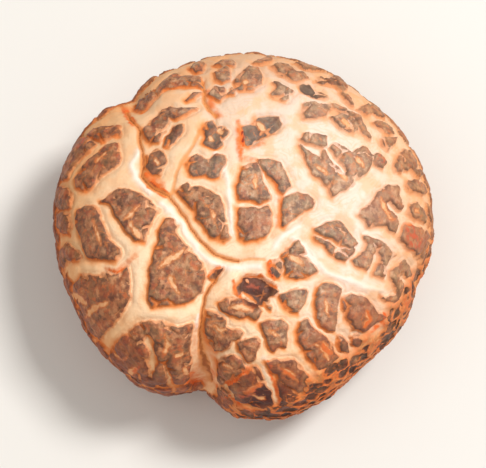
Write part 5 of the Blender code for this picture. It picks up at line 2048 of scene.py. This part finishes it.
def link_finish(graph: Graph, surface: bpy.types.Node, colour: Source, roughness: Source, relief: Source,
                strength: float, depth: float) -> None:
    """Links a finish to its Principled shader.

    Args:
        graph: The material's graph.
        surface: Its Principled shader.
        colour: The colour.
        roughness: The roughness.
        relief: Height of the fine relief, in shares of its depth.
        strength: How strongly the relief shows.
        depth: The relief's depth in metres.
    """
    bump = graph.add("ShaderNodeBump", {"Strength": strength, "Distance": depth, "Height": relief})
    finish = {"Base Color": colour, "Roughness": roughness, "Normal": bump.outputs["Normal"]}
    for name, source in finish.items():
        graph.tree.links.new(source, surface.inputs[name])


@dataclass
class Studio:
    """A pale floor, soft light from the upper right and a camera high above the front."""

    sight: Sight = field(default_factory=Sight)
    distance: float = 0.293
    lens: float = 180.0
    floor_size: float = 3.0
    key_from: Triple = (0.48, 0.22, 0.84)
    key_distance: float = 0.60
    key_size: float = 0.16
    key_power: float = 3.05
    fill_from: Triple = (-0.45, -0.35, 1.0)
    fill_height: float = 0.70
    fill_size: float = 0.80
    fill_power: float = 1.5
    sky_tone: Paint = (1.0, 0.985, 0.965, 1.0)
    sky_strength: float = 0.45
    floor_tone: Paint = paint(226, 222, 215)
    floor_roughness: float = 0.85
    nearest: float = 0.01

    def build(self, target: Vector) -> None:
        """Makes the floor, the lights and the camera.

        Args:
            target: The point that the camera and the lights face, in metres.
        """
        bpy.context.scene.view_settings.view_transform = "Standard"
        self.lay_floor()
        self.hang_light("key_light", target, Vector(self.key_from).normalized() * self.key_distance,
                        self.key_size, self.key_power)
        self.hang_light("fill_light", target, Vector(self.fill_from) * self.fill_height,
                        self.fill_size, self.fill_power)
        self.light_sky()
        self.set_camera(target)
        log.info("studio: floor, two lights and the camera")

    def lay_floor(self) -> None:
        """Lays the pale floor that the mushroom stands on."""
        shape = bmesh.new()
        bmesh.ops.create_grid(shape, x_segments=2, y_segments=2, size=self.floor_size / 2.0)
        floor = bpy.data.objects.new("floor", mesh_from(shape, "floor"))
        material, _, surface = new_material("floor_paper")
        surface.inputs["Base Color"].default_value = self.floor_tone
        surface.inputs["Roughness"].default_value = self.floor_roughness
        floor.data.materials.append(material)
        bpy.context.scene.collection.objects.link(floor)

    def hang_light(self, name: str, target: Vector, away: Vector, size: float, power: float) -> None:
        """Hangs a square area light that faces the mushroom.

        Args:
            name: Its name.
            target: The point that it faces.
            away: Its place from that point.
            size: Its width in metres.
            power: Its power in watts.
        """
        lamp = bpy.data.lights.new(name, "AREA")
        lamp.shape = "SQUARE"
        lamp.size = size
        lamp.energy = power
        light = bpy.data.objects.new(name, lamp)
        light.location = target + away
        light.rotation_euler = away.to_track_quat("Z", "Y").to_euler()
        bpy.context.scene.collection.objects.link(light)

    def light_sky(self) -> None:
        """Lights the scene softly from all round."""
        world = bpy.data.worlds.new("studio_sky")
        world.use_nodes = True
        sky = world.node_tree.nodes["Background"]
        sky.inputs["Color"].default_value = self.sky_tone
        sky.inputs["Strength"].default_value = self.sky_strength
        bpy.context.scene.world = world

    def set_camera(self, target: Vector) -> None:
        """Stands the camera at the photograph's viewing angle.

        Args:
            target: The point that it faces, in metres.
        """
        lens = bpy.data.cameras.new("camera")
        lens.lens = self.lens
        lens.clip_start = self.nearest
        camera = bpy.data.objects.new("camera", lens)
        away = Vector(self.sight.towards_viewer().tolist())
        camera.location = target + away * self.distance
        camera.rotation_euler = away.to_track_quat("Z", "Y").to_euler()
        bpy.context.scene.collection.objects.link(camera)
        bpy.context.scene.camera = camera


def main() -> None:
    """Builds the mushroom's pieces in order and sets the studio round them."""
    logging.basicConfig(level=logging.INFO, format="%(name)s: %(message)s")
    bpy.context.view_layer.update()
    low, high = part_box(NodeName.GILLS.value)
    middle = np.array(((low.x + high.x) / 2.0, (low.y + high.y) / 2.0, 0.0)) / METRES
    effect = Effect()
    Cap().build(middle, SkinTones().material(effect))
    GillBed().build(middle, GillTones().material(effect))
    Stem().build(middle, StemTones().material(effect))
    studio = Studio()
    studio.build(Vector((0.0, 0.0, studio.sight.level * METRES)))
    bpy.context.view_layer.update()


if __name__ == "__main__":
    main()
